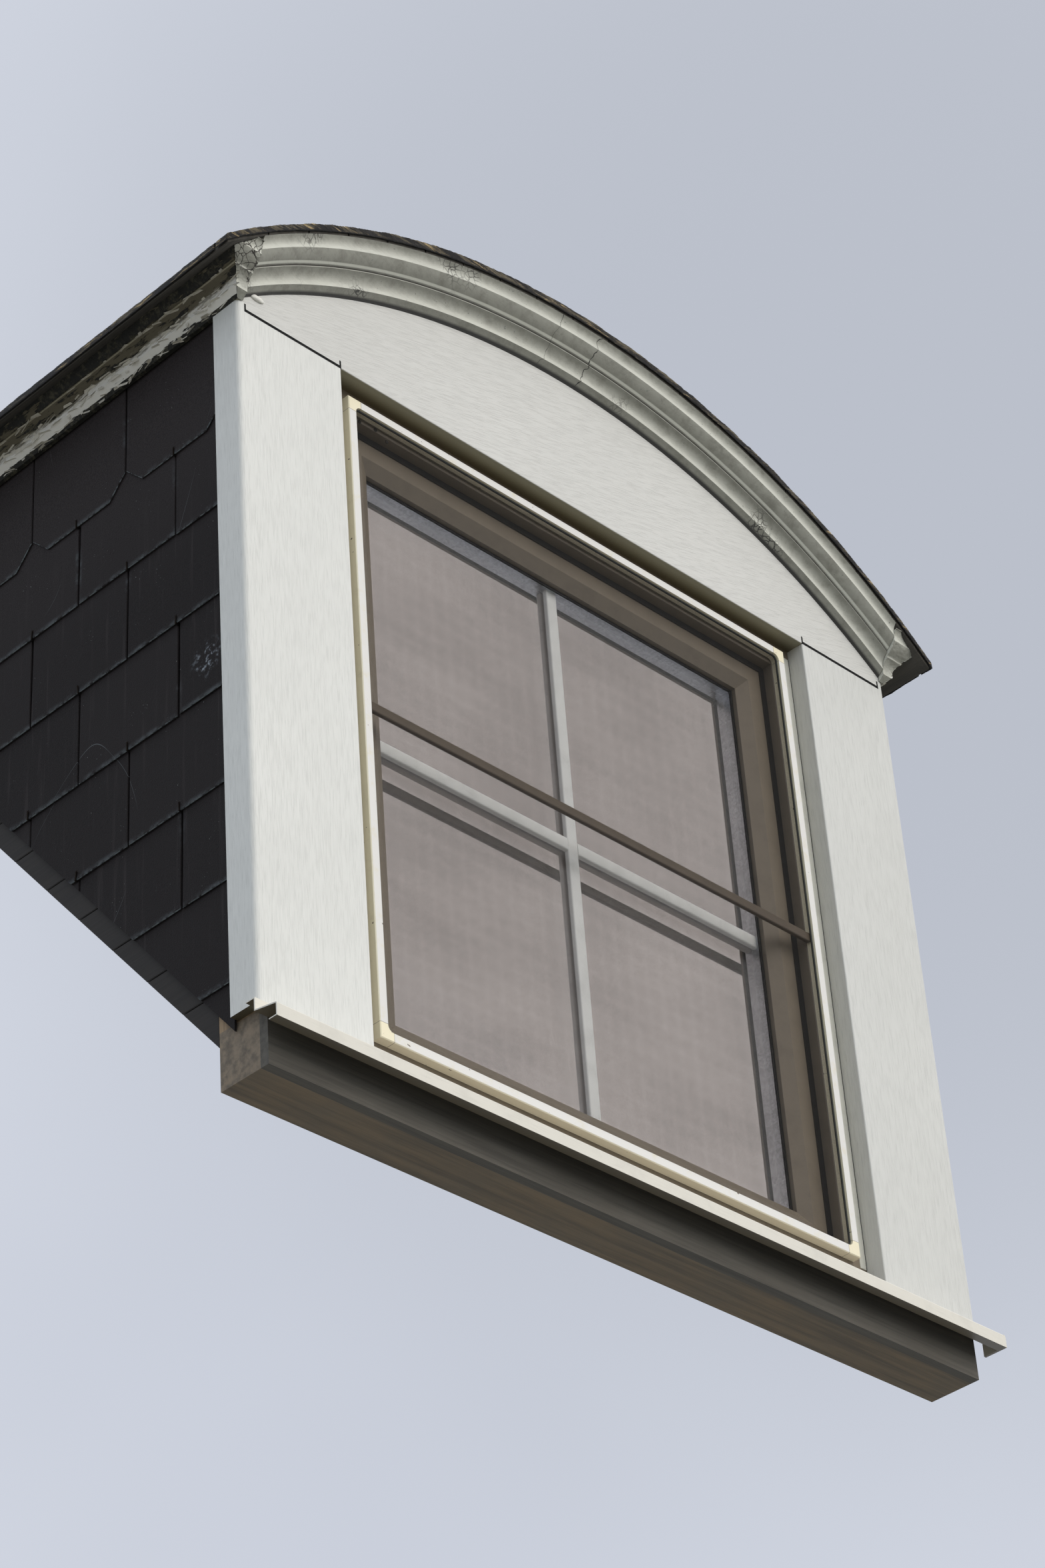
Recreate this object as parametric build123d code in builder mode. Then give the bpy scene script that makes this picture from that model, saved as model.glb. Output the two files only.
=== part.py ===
"""Arched dormer window: a timber frame with slated cheeks, a barrel roof on an arched
cornice with mitred returns, white casings and a glazed window behind an insect screen.

Millimetres, Z up, the front looks along -Y. The origin is the middle of the underside of
the front sill plate, and y = 0 is the middle of the front posts.
"""
from build123d import *
from math import cos, radians, sqrt, tan
import os

# Front of the dormer
front_width = 1700.0
casing_width = 242.0
opening_head = 1512.0
casing_thick = 16.0
casing_return = 63.0
reveal_depth = 38.5
arris_radius = 9.0
fold_radius = 2.5
casing_clearance = 0.3

# Timber frame
post_depth = 90.0
corner_post_width = 90.0
jamb_post_width = 70.0
sill_plate_height = 104.0
head_beam_height = 70.0
stud_width = 72.0
stud_thick = 45.0
stud_spacing = 400.0
rail_depth = 70.0
former_thick = 36.0
former_spacing = 400.0

# Cheek skins, from inside to outside
lining_thick = 12.0
board_thick = 18.0
slate_thick = 8.0
slate_gap = 0.3

# Main roof on which the dormer stands
roof_pitch = 50.6
rafter_line_rise = 23.0
tile_depth = 78.0
slate_tuck = 40.0
valley_board_thick = 25.0

# Arched cornice: projections and rises of its members above the tympanum line
arch_rise = 284.5
spring_above_head = 19.5
bead_out = 16.0
bead_up = 14.0
fillet_out = 31.5
fillet_up = 46.0
fillet_step = 4.0
fascia_out = 54.5
fascia_up = 75.0
crown_out = 63.0
crown_up = 101.0
cavetto_sag = 5.3
ovolo_sag = 2.0
cove_sag = 3.2
block_reach = 12.0
block_drop = 3.0
packing_height = 44.0

# Barrel roof
deck_thick = 18.0
deck_side_overhang = 14.5
covering_thick = 5.0
lip_thick = 7.0
lip_height = 21.0

# Sill
sill_overhang = 6.0
sill_out = 52.0
sill_step_up = 20.0
sill_fall = 9.0
sill_nose_height = 24.0
sill_sheet = 2.0
sill_nose_radius = 3.0
sill_lip = 18.0
sill_step_out = 4.0
end_cap_thick = 5.0
end_cap_corner = 4.5
apron_thick = 18.0

# Joint strips over the casings
joint_gap = 5.0
joint_recess = 3.0
tick_width = 3.0
tick_height = 12.0
joint_margin = 0.2

# Window frame and sash
frame_depth = 70.0
frame_face = 70.0
frame_lip_depth = 21.5
frame_rebate = 14.0
frame_groove_width = 5.0
frame_groove_depth = 2.0
frame_groove_inset = 4.0
frame_arris = 1.5
gasket_thick = 2.5
gasket_width = 21.0
gasket_overlap = 8.0
sash_clearance = 2.0
sash_depth = 60.0
sash_bevel_in = 15.0
sash_bevel_deep = 24.0
sash_bar_width = 83.5
glazing_gasket_thick = 2.0
glazing_gasket_show = 4.0
glass_embed = 12.0
pane_thick = 4.0
pane_gap = 16.0

# Insect screen
screen_side_margin = 35.5
screen_head_margin = 26.0
screen_foot_margin = 57.5
screen_bar = 17.0
screen_depth = 18.0
screen_arris = 1.5
screen_corner_leg = 30.0
screen_inner_radius = 12.0
spline_width = 3.0
spline_depth = 4.0
spline_set = 4.0
mesh_thick = 0.8
mid_bar_height = 20.0
mid_bar_depth = 9.0

# Reach of a cutting body beyond what it cuts
cut_margin = 1.0

# Levels and planes that follow from the sizes above
half_front = front_width / 2
half_opening = half_front - casing_width
post_front = -post_depth / 2
post_back = post_depth / 2
casing_front = post_front - casing_thick
frame_front = casing_front + reveal_depth
casing_back = casing_front + casing_return
casing_low = sill_plate_height + sill_sheet + casing_clearance
post_outer = half_front - casing_thick
slate_outer = post_outer + slate_thick
board_inner = post_outer - board_thick
stud_inner = board_inner - stud_width
lining_inner = stud_inner - lining_thick
frame_half = half_opening + casing_thick
frame_top = opening_head + casing_thick
beam_top = frame_top + head_beam_height
arch_spring = opening_head + spring_above_head
arch_end = half_front - block_reach
roof_slope = tan(radians(roof_pitch))
upright = 1 / cos(radians(roof_pitch))
arch_radius = (half_front**2 + arch_rise**2) / (2 * arch_rise)
arch_centre = arch_spring + arch_rise - arch_radius
deck_low = crown_up
deck_top = deck_low + deck_thick
covering_top = deck_top + covering_thick
deck_half = half_front + crown_out + deck_side_overhang
deck_front = casing_front - crown_out
cover_half = deck_half + lip_thick
cover_front = deck_front - lip_thick
roof_back = (arch_spring + arch_rise + covering_top - rafter_line_rise) / roof_slope
sill_half = half_front + sill_overhang
sill_back_top = sill_plate_height - sill_step_up
sill_nose_top = sill_back_top - sill_fall
sill_nose_low = sill_nose_top - sill_nose_height
screen_half = half_opening - screen_side_margin
screen_low = sill_plate_height + screen_foot_margin
screen_high = opening_head - screen_head_margin
screen_back = frame_front
screen_front = screen_back - screen_depth

os.makedirs("parts", exist_ok=True)


def rafter_line(y, lift=0.0):
    """Height at y of the plane of the main rafters, lifted square to the slope."""
    return rafter_line_rise + roof_slope * y + lift * upright


def rafter_reach(z, lift=0.0):
    """Distance y at which that plane comes up to the height z."""
    return (z - rafter_line_rise - lift * upright) / roof_slope


def arch(x, lift=0.0):
    """Height of the arch line above x, with the whole arc lifted straight up."""
    return arch_centre + sqrt(arch_radius**2 - x**2) + lift


def front_plane(back_y):
    """Plane facing the front, from which a board is extruded forwards."""
    return Plane.XZ.offset(-back_y)


def side_plane(sign, inner, outer):
    """Plane across X at the lower end of a strip from inner to outer on one side."""
    return Plane.YZ.offset(min(sign * inner, sign * outer))


def save(part, name):
    """Name a finished piece and write it."""
    part.label = name
    export_step(part, f"parts/{name}.step")


def side_sheet(sign, inner, outer, outline, name):
    """Board of one cheek: an outline in (y, z) that is as thick as inner to outer."""
    with BuildPart() as sheet:
        with BuildSketch(side_plane(sign, inner, outer)):
            with BuildLine():
                Polyline(*outline, close=True)
            make_face()
        extrude(amount=abs(outer - inner))
    save(sheet.part, name)


def arched_slab(half_width, low, lift, front, back):
    """Solid below the lifted arch, down to the level low or to a lower arc."""
    with BuildPart() as slab:
        with BuildSketch(front_plane(back)):
            with BuildLine():
                end_top = arch(half_width, lift)
                ThreePointArc((-half_width, end_top), (0, arch(0, lift)), (half_width, end_top))
                Line((half_width, end_top), (half_width, low))
                Line((half_width, low), (-half_width, low))
                Line((-half_width, low), (-half_width, end_top))
            make_face()
        extrude(amount=back - front)
    return slab.part


def arched_band(half_width, low_lift, high_lift, front, back):
    """Strip between two lifted arcs, of one thickness measured straight up."""
    with BuildPart() as band:
        with BuildSketch(front_plane(back)):
            with BuildLine():
                low_end = arch(half_width, low_lift)
                high_end = arch(half_width, high_lift)
                ThreePointArc((-half_width, low_end), (0, arch(0, low_lift)), (half_width, low_end))
                Line((half_width, low_end), (half_width, high_end))
                ThreePointArc((half_width, high_end), (0, arch(0, high_lift)), (-half_width, high_end))
                Line((-half_width, high_end), (-half_width, low_end))
            make_face()
        extrude(amount=back - front)
    return band.part


def frame_ring(half_outer, half_inner, low_outer, low_inner, high_outer, high_inner, front, back):
    """Rectangular ring facing the front."""
    with BuildPart() as ring:
        with BuildSketch(front_plane(back)):
            with Locations((0, (low_outer + high_outer) / 2)):
                Rectangle(2 * half_outer, high_outer - low_outer)
            with Locations((0, (low_inner + high_inner) / 2)):
                Rectangle(2 * half_inner, high_inner - low_inner, mode=Mode.SUBTRACT)
        extrude(amount=back - front)
    return ring.part


def cornice_outline():
    """Crown moulding in (out, up): bead, cavetto, fillet, ovolo, fascia and cove."""
    Line((0, 0), (bead_out, bead_up))
    SagittaArc((bead_out, bead_up), (fillet_out, fillet_up), cavetto_sag)
    Line((fillet_out, fillet_up), (fillet_out, fillet_up + fillet_step))
    SagittaArc((fillet_out, fillet_up + fillet_step), (fascia_out, fascia_up), -ovolo_sag)
    SagittaArc((fascia_out, fascia_up), (crown_out, crown_up), cove_sag)
    Line((crown_out, crown_up), (0, crown_up))
    Line((0, crown_up), (0, 0))


# Rafter plane: everything of the dormer lies above it
rafter_plane = Plane(
    origin=(0, 0, rafter_line_rise),
    x_dir=(1, 0, 0),
    z_dir=(0, -roof_slope, 1),
)
tile_plane = Plane(
    origin=(0, 0, rafter_line_rise + tile_depth * upright),
    x_dir=(1, 0, 0),
    z_dir=(0, -roof_slope, 1),
)

# Front sill plate: the timber on which the front stands, with the origin on its underside
with BuildPart() as sill_plate:
    with BuildSketch(Plane.XY):
        Rectangle(2 * post_outer, post_depth)
    extrude(amount=sill_plate_height)
save(sill_plate.part, "sill_plate")

# Jamb posts on either side of the window
with BuildPart() as jamb_posts:
    with BuildSketch(Plane.XY.offset(sill_plate_height)):
        with GridLocations(2 * frame_half + jamb_post_width, 0, 2, 1):
            Rectangle(jamb_post_width, post_depth)
    extrude(amount=frame_top - sill_plate_height)
save(jamb_posts.part, "jamb_posts")

# Corner posts, cheek frames and skins of the two sides
for side, sign in (("left", -1), ("right", 1)):
    with BuildPart() as corner_post:
        with BuildSketch(Plane.XY.offset(sill_plate_height)):
            with Locations((sign * (post_outer - corner_post_width / 2), 0)):
                Rectangle(corner_post_width, post_depth)
        extrude(amount=beam_top - sill_plate_height)
    save(corner_post.part, f"corner_post_{side}")

    rail_outline = [
        (post_back, rafter_line(post_back)),
        (rafter_reach(frame_top), frame_top),
        (rafter_reach(frame_top, rail_depth), frame_top),
        (post_back, rafter_line(post_back, rail_depth)),
    ]
    side_sheet(sign, stud_inner, board_inner, rail_outline, f"cheek_rail_{side}")

    plate_outline = [
        (post_back, frame_top),
        (rafter_reach(frame_top), frame_top),
        (rafter_reach(beam_top), beam_top),
        (post_back, beam_top),
    ]
    side_sheet(sign, stud_inner, board_inner, plate_outline, f"wall_plate_{side}")

    with BuildPart() as studs:
        stud_reach = rafter_reach(frame_top, rail_depth) - stud_thick - post_back
        for bay in range(int(stud_reach // stud_spacing)):
            front_y = post_back + (bay + 1) * stud_spacing
            back_y = front_y + stud_thick
            with BuildSketch(side_plane(sign, stud_inner, board_inner)):
                with BuildLine():
                    Polyline(
                        (front_y, rafter_line(front_y, rail_depth)),
                        (back_y, rafter_line(back_y, rail_depth)),
                        (back_y, frame_top),
                        (front_y, frame_top),
                        close=True,
                    )
                make_face()
        extrude(amount=stud_width)
    save(studs.part, f"cheek_studs_{side}")

    board_outline = [
        (post_back, rafter_line(post_back)),
        (rafter_reach(beam_top), beam_top),
        (post_back, beam_top),
    ]
    side_sheet(sign, board_inner, post_outer, board_outline, f"cheek_boards_{side}")

    lining_top = beam_top - lining_thick
    lining_outline = [
        (post_back, rafter_line(post_back)),
        (rafter_reach(lining_top), lining_top),
        (post_back, lining_top),
    ]
    side_sheet(sign, lining_inner, stud_inner, lining_outline, f"cheek_lining_{side}")

    slate_front = casing_back + slate_gap
    slate_top = arch_spring + packing_height
    slate_lift = tile_depth - slate_tuck
    slate_outline = [
        (slate_front, rafter_line(slate_front, slate_lift)),
        (rafter_reach(slate_top, slate_lift), slate_top),
        (slate_front, slate_top),
    ]
    side_sheet(sign, post_outer, slate_outer, slate_outline, f"cheek_slates_{side}")

# Head beam between the corner posts
with BuildPart() as head_beam:
    with BuildSketch(Plane.XY.offset(frame_top)):
        Rectangle(2 * (post_outer - corner_post_width), post_depth)
    extrude(amount=head_beam_height)
save(head_beam.part, "head_beam")

# Arched formers that shape the barrel roof: the first one stands on the head beam, and the
# last is the one that still clears the valley board
former_reach = rafter_reach(beam_top, valley_board_thick) - former_thick - post_front
with BuildPart() as roof_formers:
    for index in range(int(former_reach // former_spacing) + 1):
        former_front = post_front + index * former_spacing
        add(arched_slab(post_outer, beam_top, deck_low, former_front, former_front + former_thick))
save(roof_formers.part, "roof_formers")

# Valley board: lies on the main rafters and closes the back of the barrel roof
with BuildPart() as valley_board:
    add(arched_slab(post_outer, beam_top, deck_low, post_back, roof_back))
    split(bisect_by=rafter_plane, keep=Keep.TOP)
    split(bisect_by=rafter_plane.offset(valley_board_thick), keep=Keep.BOTTOM)
save(valley_board.part, "valley_board")

# Flat ceiling under the formers
with BuildPart() as ceiling:
    with BuildSketch(Plane.YZ.offset(-stud_inner)):
        with BuildLine():
            Polyline(
                (post_back, lining_top),
                (rafter_reach(lining_top), lining_top),
                (rafter_reach(beam_top), beam_top),
                (post_back, beam_top),
                close=True,
            )
        make_face()
    extrude(amount=2 * stud_inner)
save(ceiling.part, "ceiling_lining")

# Roof boards of the barrel and their covering, with a turned-down edge at front and sides
with BuildPart() as roof_deck:
    add(arched_band(deck_half, deck_low, deck_top, deck_front, roof_back))
    split(bisect_by=rafter_plane, keep=Keep.TOP)
save(roof_deck.part, "roof_deck")

with BuildPart() as roof_covering:
    add(arched_band(cover_half, covering_top - lip_height, covering_top, cover_front, roof_back))
    add(
        arched_slab(deck_half, 0.0, deck_top, deck_front, roof_back + lip_thick),
        mode=Mode.SUBTRACT,
    )
    split(bisect_by=rafter_plane, keep=Keep.TOP)
save(roof_covering.part, "roof_covering")

# Arched cornice: the crown moulding keeps its section upright along the whole arc
with BuildPart() as cornice_front:
    with BuildLine(Plane.XZ.offset(-casing_front)) as arch_path:
        arch_foot = arch(arch_end)
        ThreePointArc((-arch_end, arch_foot), (0, arch(0)), (arch_end, arch_foot))
    section_plane = Plane(
        origin=(-arch_end, casing_front, arch_foot),
        x_dir=(0, -1, 0),
        z_dir=(-1, 0, 0),
    )
    with BuildSketch(section_plane) as arch_section:
        with BuildLine():
            cornice_outline()
        make_face()
    sweep(path=arch_path.wires()[0], normal=(1, 0, 0))
save(cornice_front.part, "cornice_front")

# Returns: a level corner block on the front, mitred to the moulding along each cheek
under_deck = arched_slab(
    deck_half + cut_margin, 0.0, deck_low, deck_front - cut_margin, roof_back
)
for side, sign in (("left", -1), ("right", 1)):
    mitre = Plane(
        origin=(sign * half_front, casing_front, 0),
        x_dir=(0, 0, 1),
        z_dir=(sign, 1, 0),
    )
    with BuildPart() as block:
        with BuildSketch(
            Plane(
                origin=(sign * arch_end, casing_front, arch_spring - block_drop),
                x_dir=(0, -1, 0),
                z_dir=(-1, 0, 0),
            )
        ):
            with BuildLine():
                cornice_outline()
            make_face()
        extrude(amount=-sign * (deck_half - arch_end))
        split(bisect_by=mitre, keep=Keep.BOTTOM)
        add(under_deck, mode=Mode.INTERSECT)
    save(block.part, f"cornice_block_{side}")

    with BuildPart() as cheek_cornice:
        with BuildSketch(
            Plane(
                origin=(sign * half_front, deck_front, arch_spring),
                x_dir=(sign, 0, 0),
                z_dir=(0, -sign, 0),
            )
        ):
            with BuildLine():
                cornice_outline()
            make_face()
        extrude(amount=-sign * (rafter_reach(arch_spring + crown_up) - deck_front))
        split(bisect_by=mitre, keep=Keep.TOP)
        with BuildSketch(side_plane(sign, slate_outer, half_front)):
            with BuildLine():
                packing_back = rafter_reach(arch_spring + packing_height)
                Polyline(
                    (slate_front, arch_spring),
                    (packing_back, arch_spring),
                    (packing_back, arch_spring + packing_height),
                    (slate_front, arch_spring + packing_height),
                    close=True,
                )
            make_face()
        extrude(amount=half_front - slate_outer)
        add(under_deck, mode=Mode.INTERSECT)
        split(bisect_by=tile_plane, keep=Keep.TOP)
    save(cheek_cornice.part, f"cornice_{side}")

# Tympanum: one board from the opening head up to the roof boards, turned in at the head
joint_top = opening_head + joint_gap
with BuildPart() as tympanum:
    add(arched_slab(half_front, opening_head, deck_low, casing_front, post_front))
    for sign in (-1, 1):
        with BuildSketch(front_plane(post_front)):
            with Locations((sign * (post_outer + half_front) / 2, (opening_head + arch_spring) / 2)):
                Rectangle(casing_thick, arch_spring - opening_head)
            with Locations((sign * (half_opening + post_outer) / 2, opening_head + joint_gap / 2)):
                Rectangle(post_outer - half_opening, joint_gap)
            for tick_x in (half_opening + tick_width / 2, post_outer - tick_width / 2):
                with Locations((sign * tick_x, joint_top + tick_height / 2)):
                    Rectangle(tick_width, tick_height)
        extrude(amount=casing_thick, mode=Mode.SUBTRACT)
    with BuildSketch(front_plane(frame_front)):
        with Locations((0, opening_head + casing_thick / 2)):
            Rectangle(2 * frame_half, casing_thick)
    extrude(amount=frame_front - post_front)
    head_fold = tympanum.edges().filter_by(Axis.X).group_by(Axis.Z)[0].sort_by(Axis.Y)[0]
    fillet(head_fold, fold_radius)
save(tympanum.part, "tympanum")

# Casings: a front board with a side return and a reveal return, and rounded arrises
for side, sign in (("left", -1), ("right", 1)):
    with BuildPart() as casing:
        with BuildSketch(Plane.XY.offset(casing_low)):
            with BuildLine():
                Polyline(
                    (sign * half_front, casing_back),
                    (sign * half_front, casing_front),
                    (sign * half_opening, casing_front),
                    (sign * half_opening, frame_front),
                    (sign * frame_half, frame_front),
                    (sign * frame_half, post_front),
                    (sign * post_outer, post_front),
                    (sign * post_outer, casing_back),
                    close=True,
                )
            make_face()
        extrude(amount=opening_head - casing_low)
        with BuildSketch(Plane.XY.offset(opening_head)):
            with Locations((sign * (post_outer + casing_thick / 2), (casing_front + casing_back) / 2)):
                Rectangle(casing_thick, casing_return)
        extrude(amount=arch_spring - opening_head)
        arrises = casing.edges().filter_by(Axis.Z).group_by(Axis.Y)[0].sort_by(Axis.X)
        outer_arris = arrises[0] if sign < 0 else arrises[-1]
        fillet(outer_arris, arris_radius)
        folds = casing.edges().filter_by(Axis.Z).group_by(Axis.Y)[0].sort_by(Axis.X)
        fillet(folds[-1] if sign < 0 else folds[0], fold_radius)
    save(casing.part, f"casing_{side}")

# Black strips in the joints over the casings, with their ends turned up
with BuildPart() as joint_strips:
    for sign in (-1, 1):
        with BuildSketch(front_plane(post_front)):
            strip_low = half_opening + joint_margin
            strip_high = post_outer - joint_margin
            strip_width = tick_width - 2 * joint_margin
            with Locations((sign * (strip_low + strip_high) / 2, opening_head + joint_gap / 2)):
                Rectangle(strip_high - strip_low, joint_gap)
            for tick_x in (strip_low + strip_width / 2, strip_high - strip_width / 2):
                with Locations((sign * tick_x, joint_top + (tick_height - joint_margin) / 2)):
                    Rectangle(strip_width, tick_height - joint_margin)
        extrude(amount=casing_thick - joint_recess)
save(joint_strips.part, "joint_strips")

# Sill: a folded sheet with a hanging nose, open at its left end and capped at the right. Its
# left end reaches out as far as the cap does
apron_front = post_front - apron_thick
step_front = casing_front - sill_step_out
nose_front = casing_front - sill_out
with BuildPart() as window_sill:
    with BuildSketch(Plane.YZ.offset(-sill_half - end_cap_thick)):
        with BuildLine():
            Polyline(
                (post_front, sill_plate_height),
                (step_front + sill_sheet, sill_plate_height),
                (step_front + sill_sheet, sill_back_top - sill_sheet),
                (nose_front + sill_sheet, sill_nose_top - sill_sheet),
                (nose_front + sill_sheet, sill_nose_low + sill_sheet),
                (nose_front + sill_lip, sill_nose_low + sill_sheet),
                (nose_front + sill_lip, sill_nose_low),
                (nose_front, sill_nose_low),
                (nose_front, sill_nose_top),
                (step_front, sill_back_top),
                (step_front, sill_plate_height + sill_sheet),
                (post_front, sill_plate_height + sill_sheet),
                close=True,
            )
        make_face()
    extrude(amount=2 * sill_half + end_cap_thick)
    nose_edge = window_sill.edges().filter_by(Axis.X).group_by(Axis.Y)[0].sort_by(Axis.Z)[-1]
    fillet(nose_edge, sill_nose_radius)
    with BuildSketch(front_plane(frame_front)):
        with Locations((0, sill_plate_height + sill_sheet / 2)):
            Rectangle(2 * frame_half, sill_sheet)
    extrude(amount=frame_front - post_front)
save(window_sill.part, "window_sill")

with BuildPart() as sill_end_cap:
    with BuildSketch(Plane.YZ.offset(sill_half)):
        with BuildLine():
            Polyline(
                (nose_front, sill_nose_low),
                (step_front, sill_nose_low),
                (step_front, sill_back_top),
                (nose_front, sill_nose_top),
                close=True,
            )
        make_face()
    extrude(amount=end_cap_thick)
    top_edge = sill_end_cap.edges().filter_by(GeomType.LINE).group_by(Axis.X)[-1].sort_by(Axis.Z)[-1]
    fillet(top_edge, end_cap_corner)
save(sill_end_cap.part, "sill_end_cap")

# Apron board under the sill, on the face of the sill plate
with BuildPart() as apron_board:
    with BuildSketch(Plane.XY):
        with Locations((0, post_front - apron_thick / 2)):
            Rectangle(2 * post_outer, apron_thick)
    extrude(amount=sill_plate_height)
save(apron_board.part, "apron_board")

# Window frame: a deep outer frame whose front lip covers the sash
lip_half = frame_half - frame_face
lip_low = sill_plate_height + frame_face
lip_high = frame_top - frame_face
rebate_half = lip_half + frame_rebate
lip_back = frame_front + frame_lip_depth
groove_outer = frame_groove_inset + frame_groove_width
with BuildPart() as window_frame:
    add(
        frame_ring(
            frame_half, lip_half, sill_plate_height, lip_low, frame_top, lip_high,
            frame_front, lip_back,
        )
    )
    add(
        frame_ring(
            frame_half, rebate_half, sill_plate_height, lip_low - frame_rebate,
            frame_top, lip_high + frame_rebate, lip_back, frame_front + frame_depth,
        )
    )
    add(
        frame_ring(
            lip_half + groove_outer, lip_half + frame_groove_inset,
            lip_low - groove_outer, lip_low - frame_groove_inset,
            lip_high + groove_outer, lip_high + frame_groove_inset,
            frame_front, frame_front + frame_groove_depth,
        ),
        mode=Mode.SUBTRACT,
    )
    lip_edges = window_frame.edges().filter_by_position(Axis.Y, frame_front, frame_front)
    inner_edges = lip_edges.filter_by_position(Axis.X, -lip_half, lip_half)
    chamfer(inner_edges.filter_by_position(Axis.Z, lip_low, lip_high), frame_arris)
save(window_frame.part, "window_frame")

# Black gasket between the lip of the frame and the face of the sash
gasket_inner = gasket_overlap - gasket_width
gasket_back = lip_back + gasket_thick
save(
    frame_ring(
        lip_half + gasket_overlap, lip_half + gasket_inner,
        lip_low - gasket_overlap, lip_low - gasket_inner,
        lip_high + gasket_overlap, lip_high + gasket_inner,
        lip_back, gasket_back,
    ),
    "frame_gasket",
)

# Sash: bevelled to the glass, with the double pane held in its groove
sash_front = gasket_back
sash_back = sash_front + sash_depth
sash_outer = rebate_half - sash_clearance
glass_half = sash_outer - sash_bar_width
sash_low = lip_low - frame_rebate + sash_clearance
sash_high = lip_high + frame_rebate - sash_clearance
glass_low = sash_low + sash_bar_width
glass_high = sash_high - sash_bar_width
pocket_front = sash_front + sash_bevel_deep
outer_pane_front = pocket_front + glazing_gasket_thick
inner_pane_back = outer_pane_front + 2 * pane_thick + pane_gap
with BuildPart() as window_sash:
    add(
        frame_ring(
            sash_outer, glass_half, sash_low, glass_low, sash_high, glass_high,
            sash_front, sash_back,
        )
    )
    sash_face = window_sash.faces().sort_by(Axis.Y)[0]
    chamfer(sash_face.inner_wires()[0].edges(), length=sash_bevel_in, length2=sash_bevel_deep)
    add(
        frame_ring(
            glass_half + glass_embed, glass_half - cut_margin,
            glass_low - glass_embed, glass_low + cut_margin,
            glass_high + glass_embed, glass_high - cut_margin,
            pocket_front, inner_pane_back,
        ),
        mode=Mode.SUBTRACT,
    )
save(window_sash.part, "window_sash")

# Double glazing: gasket, two panes and the spacer between them
pane_half = glass_half + glass_embed
pane_low = glass_low - glass_embed
pane_high = glass_high + glass_embed
save(
    frame_ring(
        pane_half, glass_half - glazing_gasket_show,
        pane_low, glass_low + glazing_gasket_show,
        pane_high, glass_high - glazing_gasket_show,
        pocket_front, outer_pane_front,
    ),
    "glazing_gasket",
)
with BuildPart() as glass_panes:
    for pane_front in (outer_pane_front, outer_pane_front + pane_thick + pane_gap):
        with BuildSketch(front_plane(pane_front + pane_thick)):
            with Locations((0, (pane_low + pane_high) / 2)):
                Rectangle(2 * pane_half, pane_high - pane_low)
        extrude(amount=pane_thick)
save(glass_panes.part, "glass_panes")
save(
    frame_ring(
        pane_half, glass_half - glazing_gasket_show / 2,
        pane_low, glass_low + glazing_gasket_show / 2,
        pane_high, glass_high - glazing_gasket_show / 2,
        outer_pane_front + pane_thick, outer_pane_front + pane_thick + pane_gap,
    ),
    "glazing_spacer",
)

# Insect screen: bars between corner pieces, cut from one ring so that their arrises line up
screen_width = 2 * screen_half
screen_height = screen_high - screen_low
screen_middle = (screen_low + screen_high) / 2
inner_half = screen_half - screen_bar
inner_height = screen_height - 2 * screen_bar
with BuildPart() as screen_ring:
    with BuildSketch(front_plane(screen_back)):
        with Locations((0, screen_middle)):
            Rectangle(screen_width, screen_height)
            RectangleRounded(2 * inner_half, inner_height, screen_inner_radius, mode=Mode.SUBTRACT)
    extrude(amount=screen_depth)
    screen_face = screen_ring.faces().sort_by(Axis.Y)[0]
    chamfer(screen_face.outer_wire().edges(), screen_arris)

with BuildPart() as corner_zones:
    with BuildSketch(front_plane(screen_back)):
        with Locations((0, screen_middle)):
            with GridLocations(
                screen_width - screen_corner_leg, screen_height - screen_corner_leg, 2, 2
            ):
                Rectangle(screen_corner_leg, screen_corner_leg)
    extrude(amount=screen_depth)

with BuildPart() as screen_bars:
    add(screen_ring.part)
    add(corner_zones.part, mode=Mode.SUBTRACT)
save(screen_bars.part, "screen_bars")

with BuildPart() as screen_corners:
    add(screen_ring.part)
    add(corner_zones.part, mode=Mode.INTERSECT)
save(screen_corners.part, "screen_corners")

spline_front = screen_front + spline_set
with BuildPart() as screen_spline:
    with BuildSketch(front_plane(spline_front + spline_depth)):
        with Locations((0, screen_middle)):
            RectangleRounded(2 * inner_half, inner_height, screen_inner_radius)
            RectangleRounded(
                2 * (inner_half - spline_width),
                inner_height - 2 * spline_width,
                screen_inner_radius - spline_width,
                mode=Mode.SUBTRACT,
            )
    extrude(amount=spline_depth)
save(screen_spline.part, "screen_spline")

mesh_back = spline_front + (spline_depth + mesh_thick) / 2
with BuildPart() as screen_mesh:
    with BuildSketch(front_plane(mesh_back)):
        with Locations((0, screen_middle)):
            RectangleRounded(
                2 * (inner_half - spline_width),
                inner_height - 2 * spline_width,
                screen_inner_radius - spline_width,
            )
    extrude(amount=mesh_thick)
save(screen_mesh.part, "screen_mesh")

mid_bar_back = spline_front + spline_depth + mid_bar_depth
with BuildPart() as screen_mid_bar:
    with BuildSketch(front_plane(mid_bar_back)):
        with Locations((0, screen_middle)):
            Rectangle(2 * inner_half, mid_bar_height)
    extrude(amount=mid_bar_depth)
save(screen_mid_bar.part, "screen_mid_bar")
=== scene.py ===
"""Looks of the arched dormer window: slates, roof covering, paint, panes, glazing bars, insect mesh,
finishes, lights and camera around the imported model. One unit is one metre.
"""
import math
import random
from functools import reduce

import bpy
from bpy.props import FloatProperty, FloatVectorProperty, IntProperty, PointerProperty
from mathutils import Matrix, Vector
from mathutils.bvhtree import BVHTree


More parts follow.
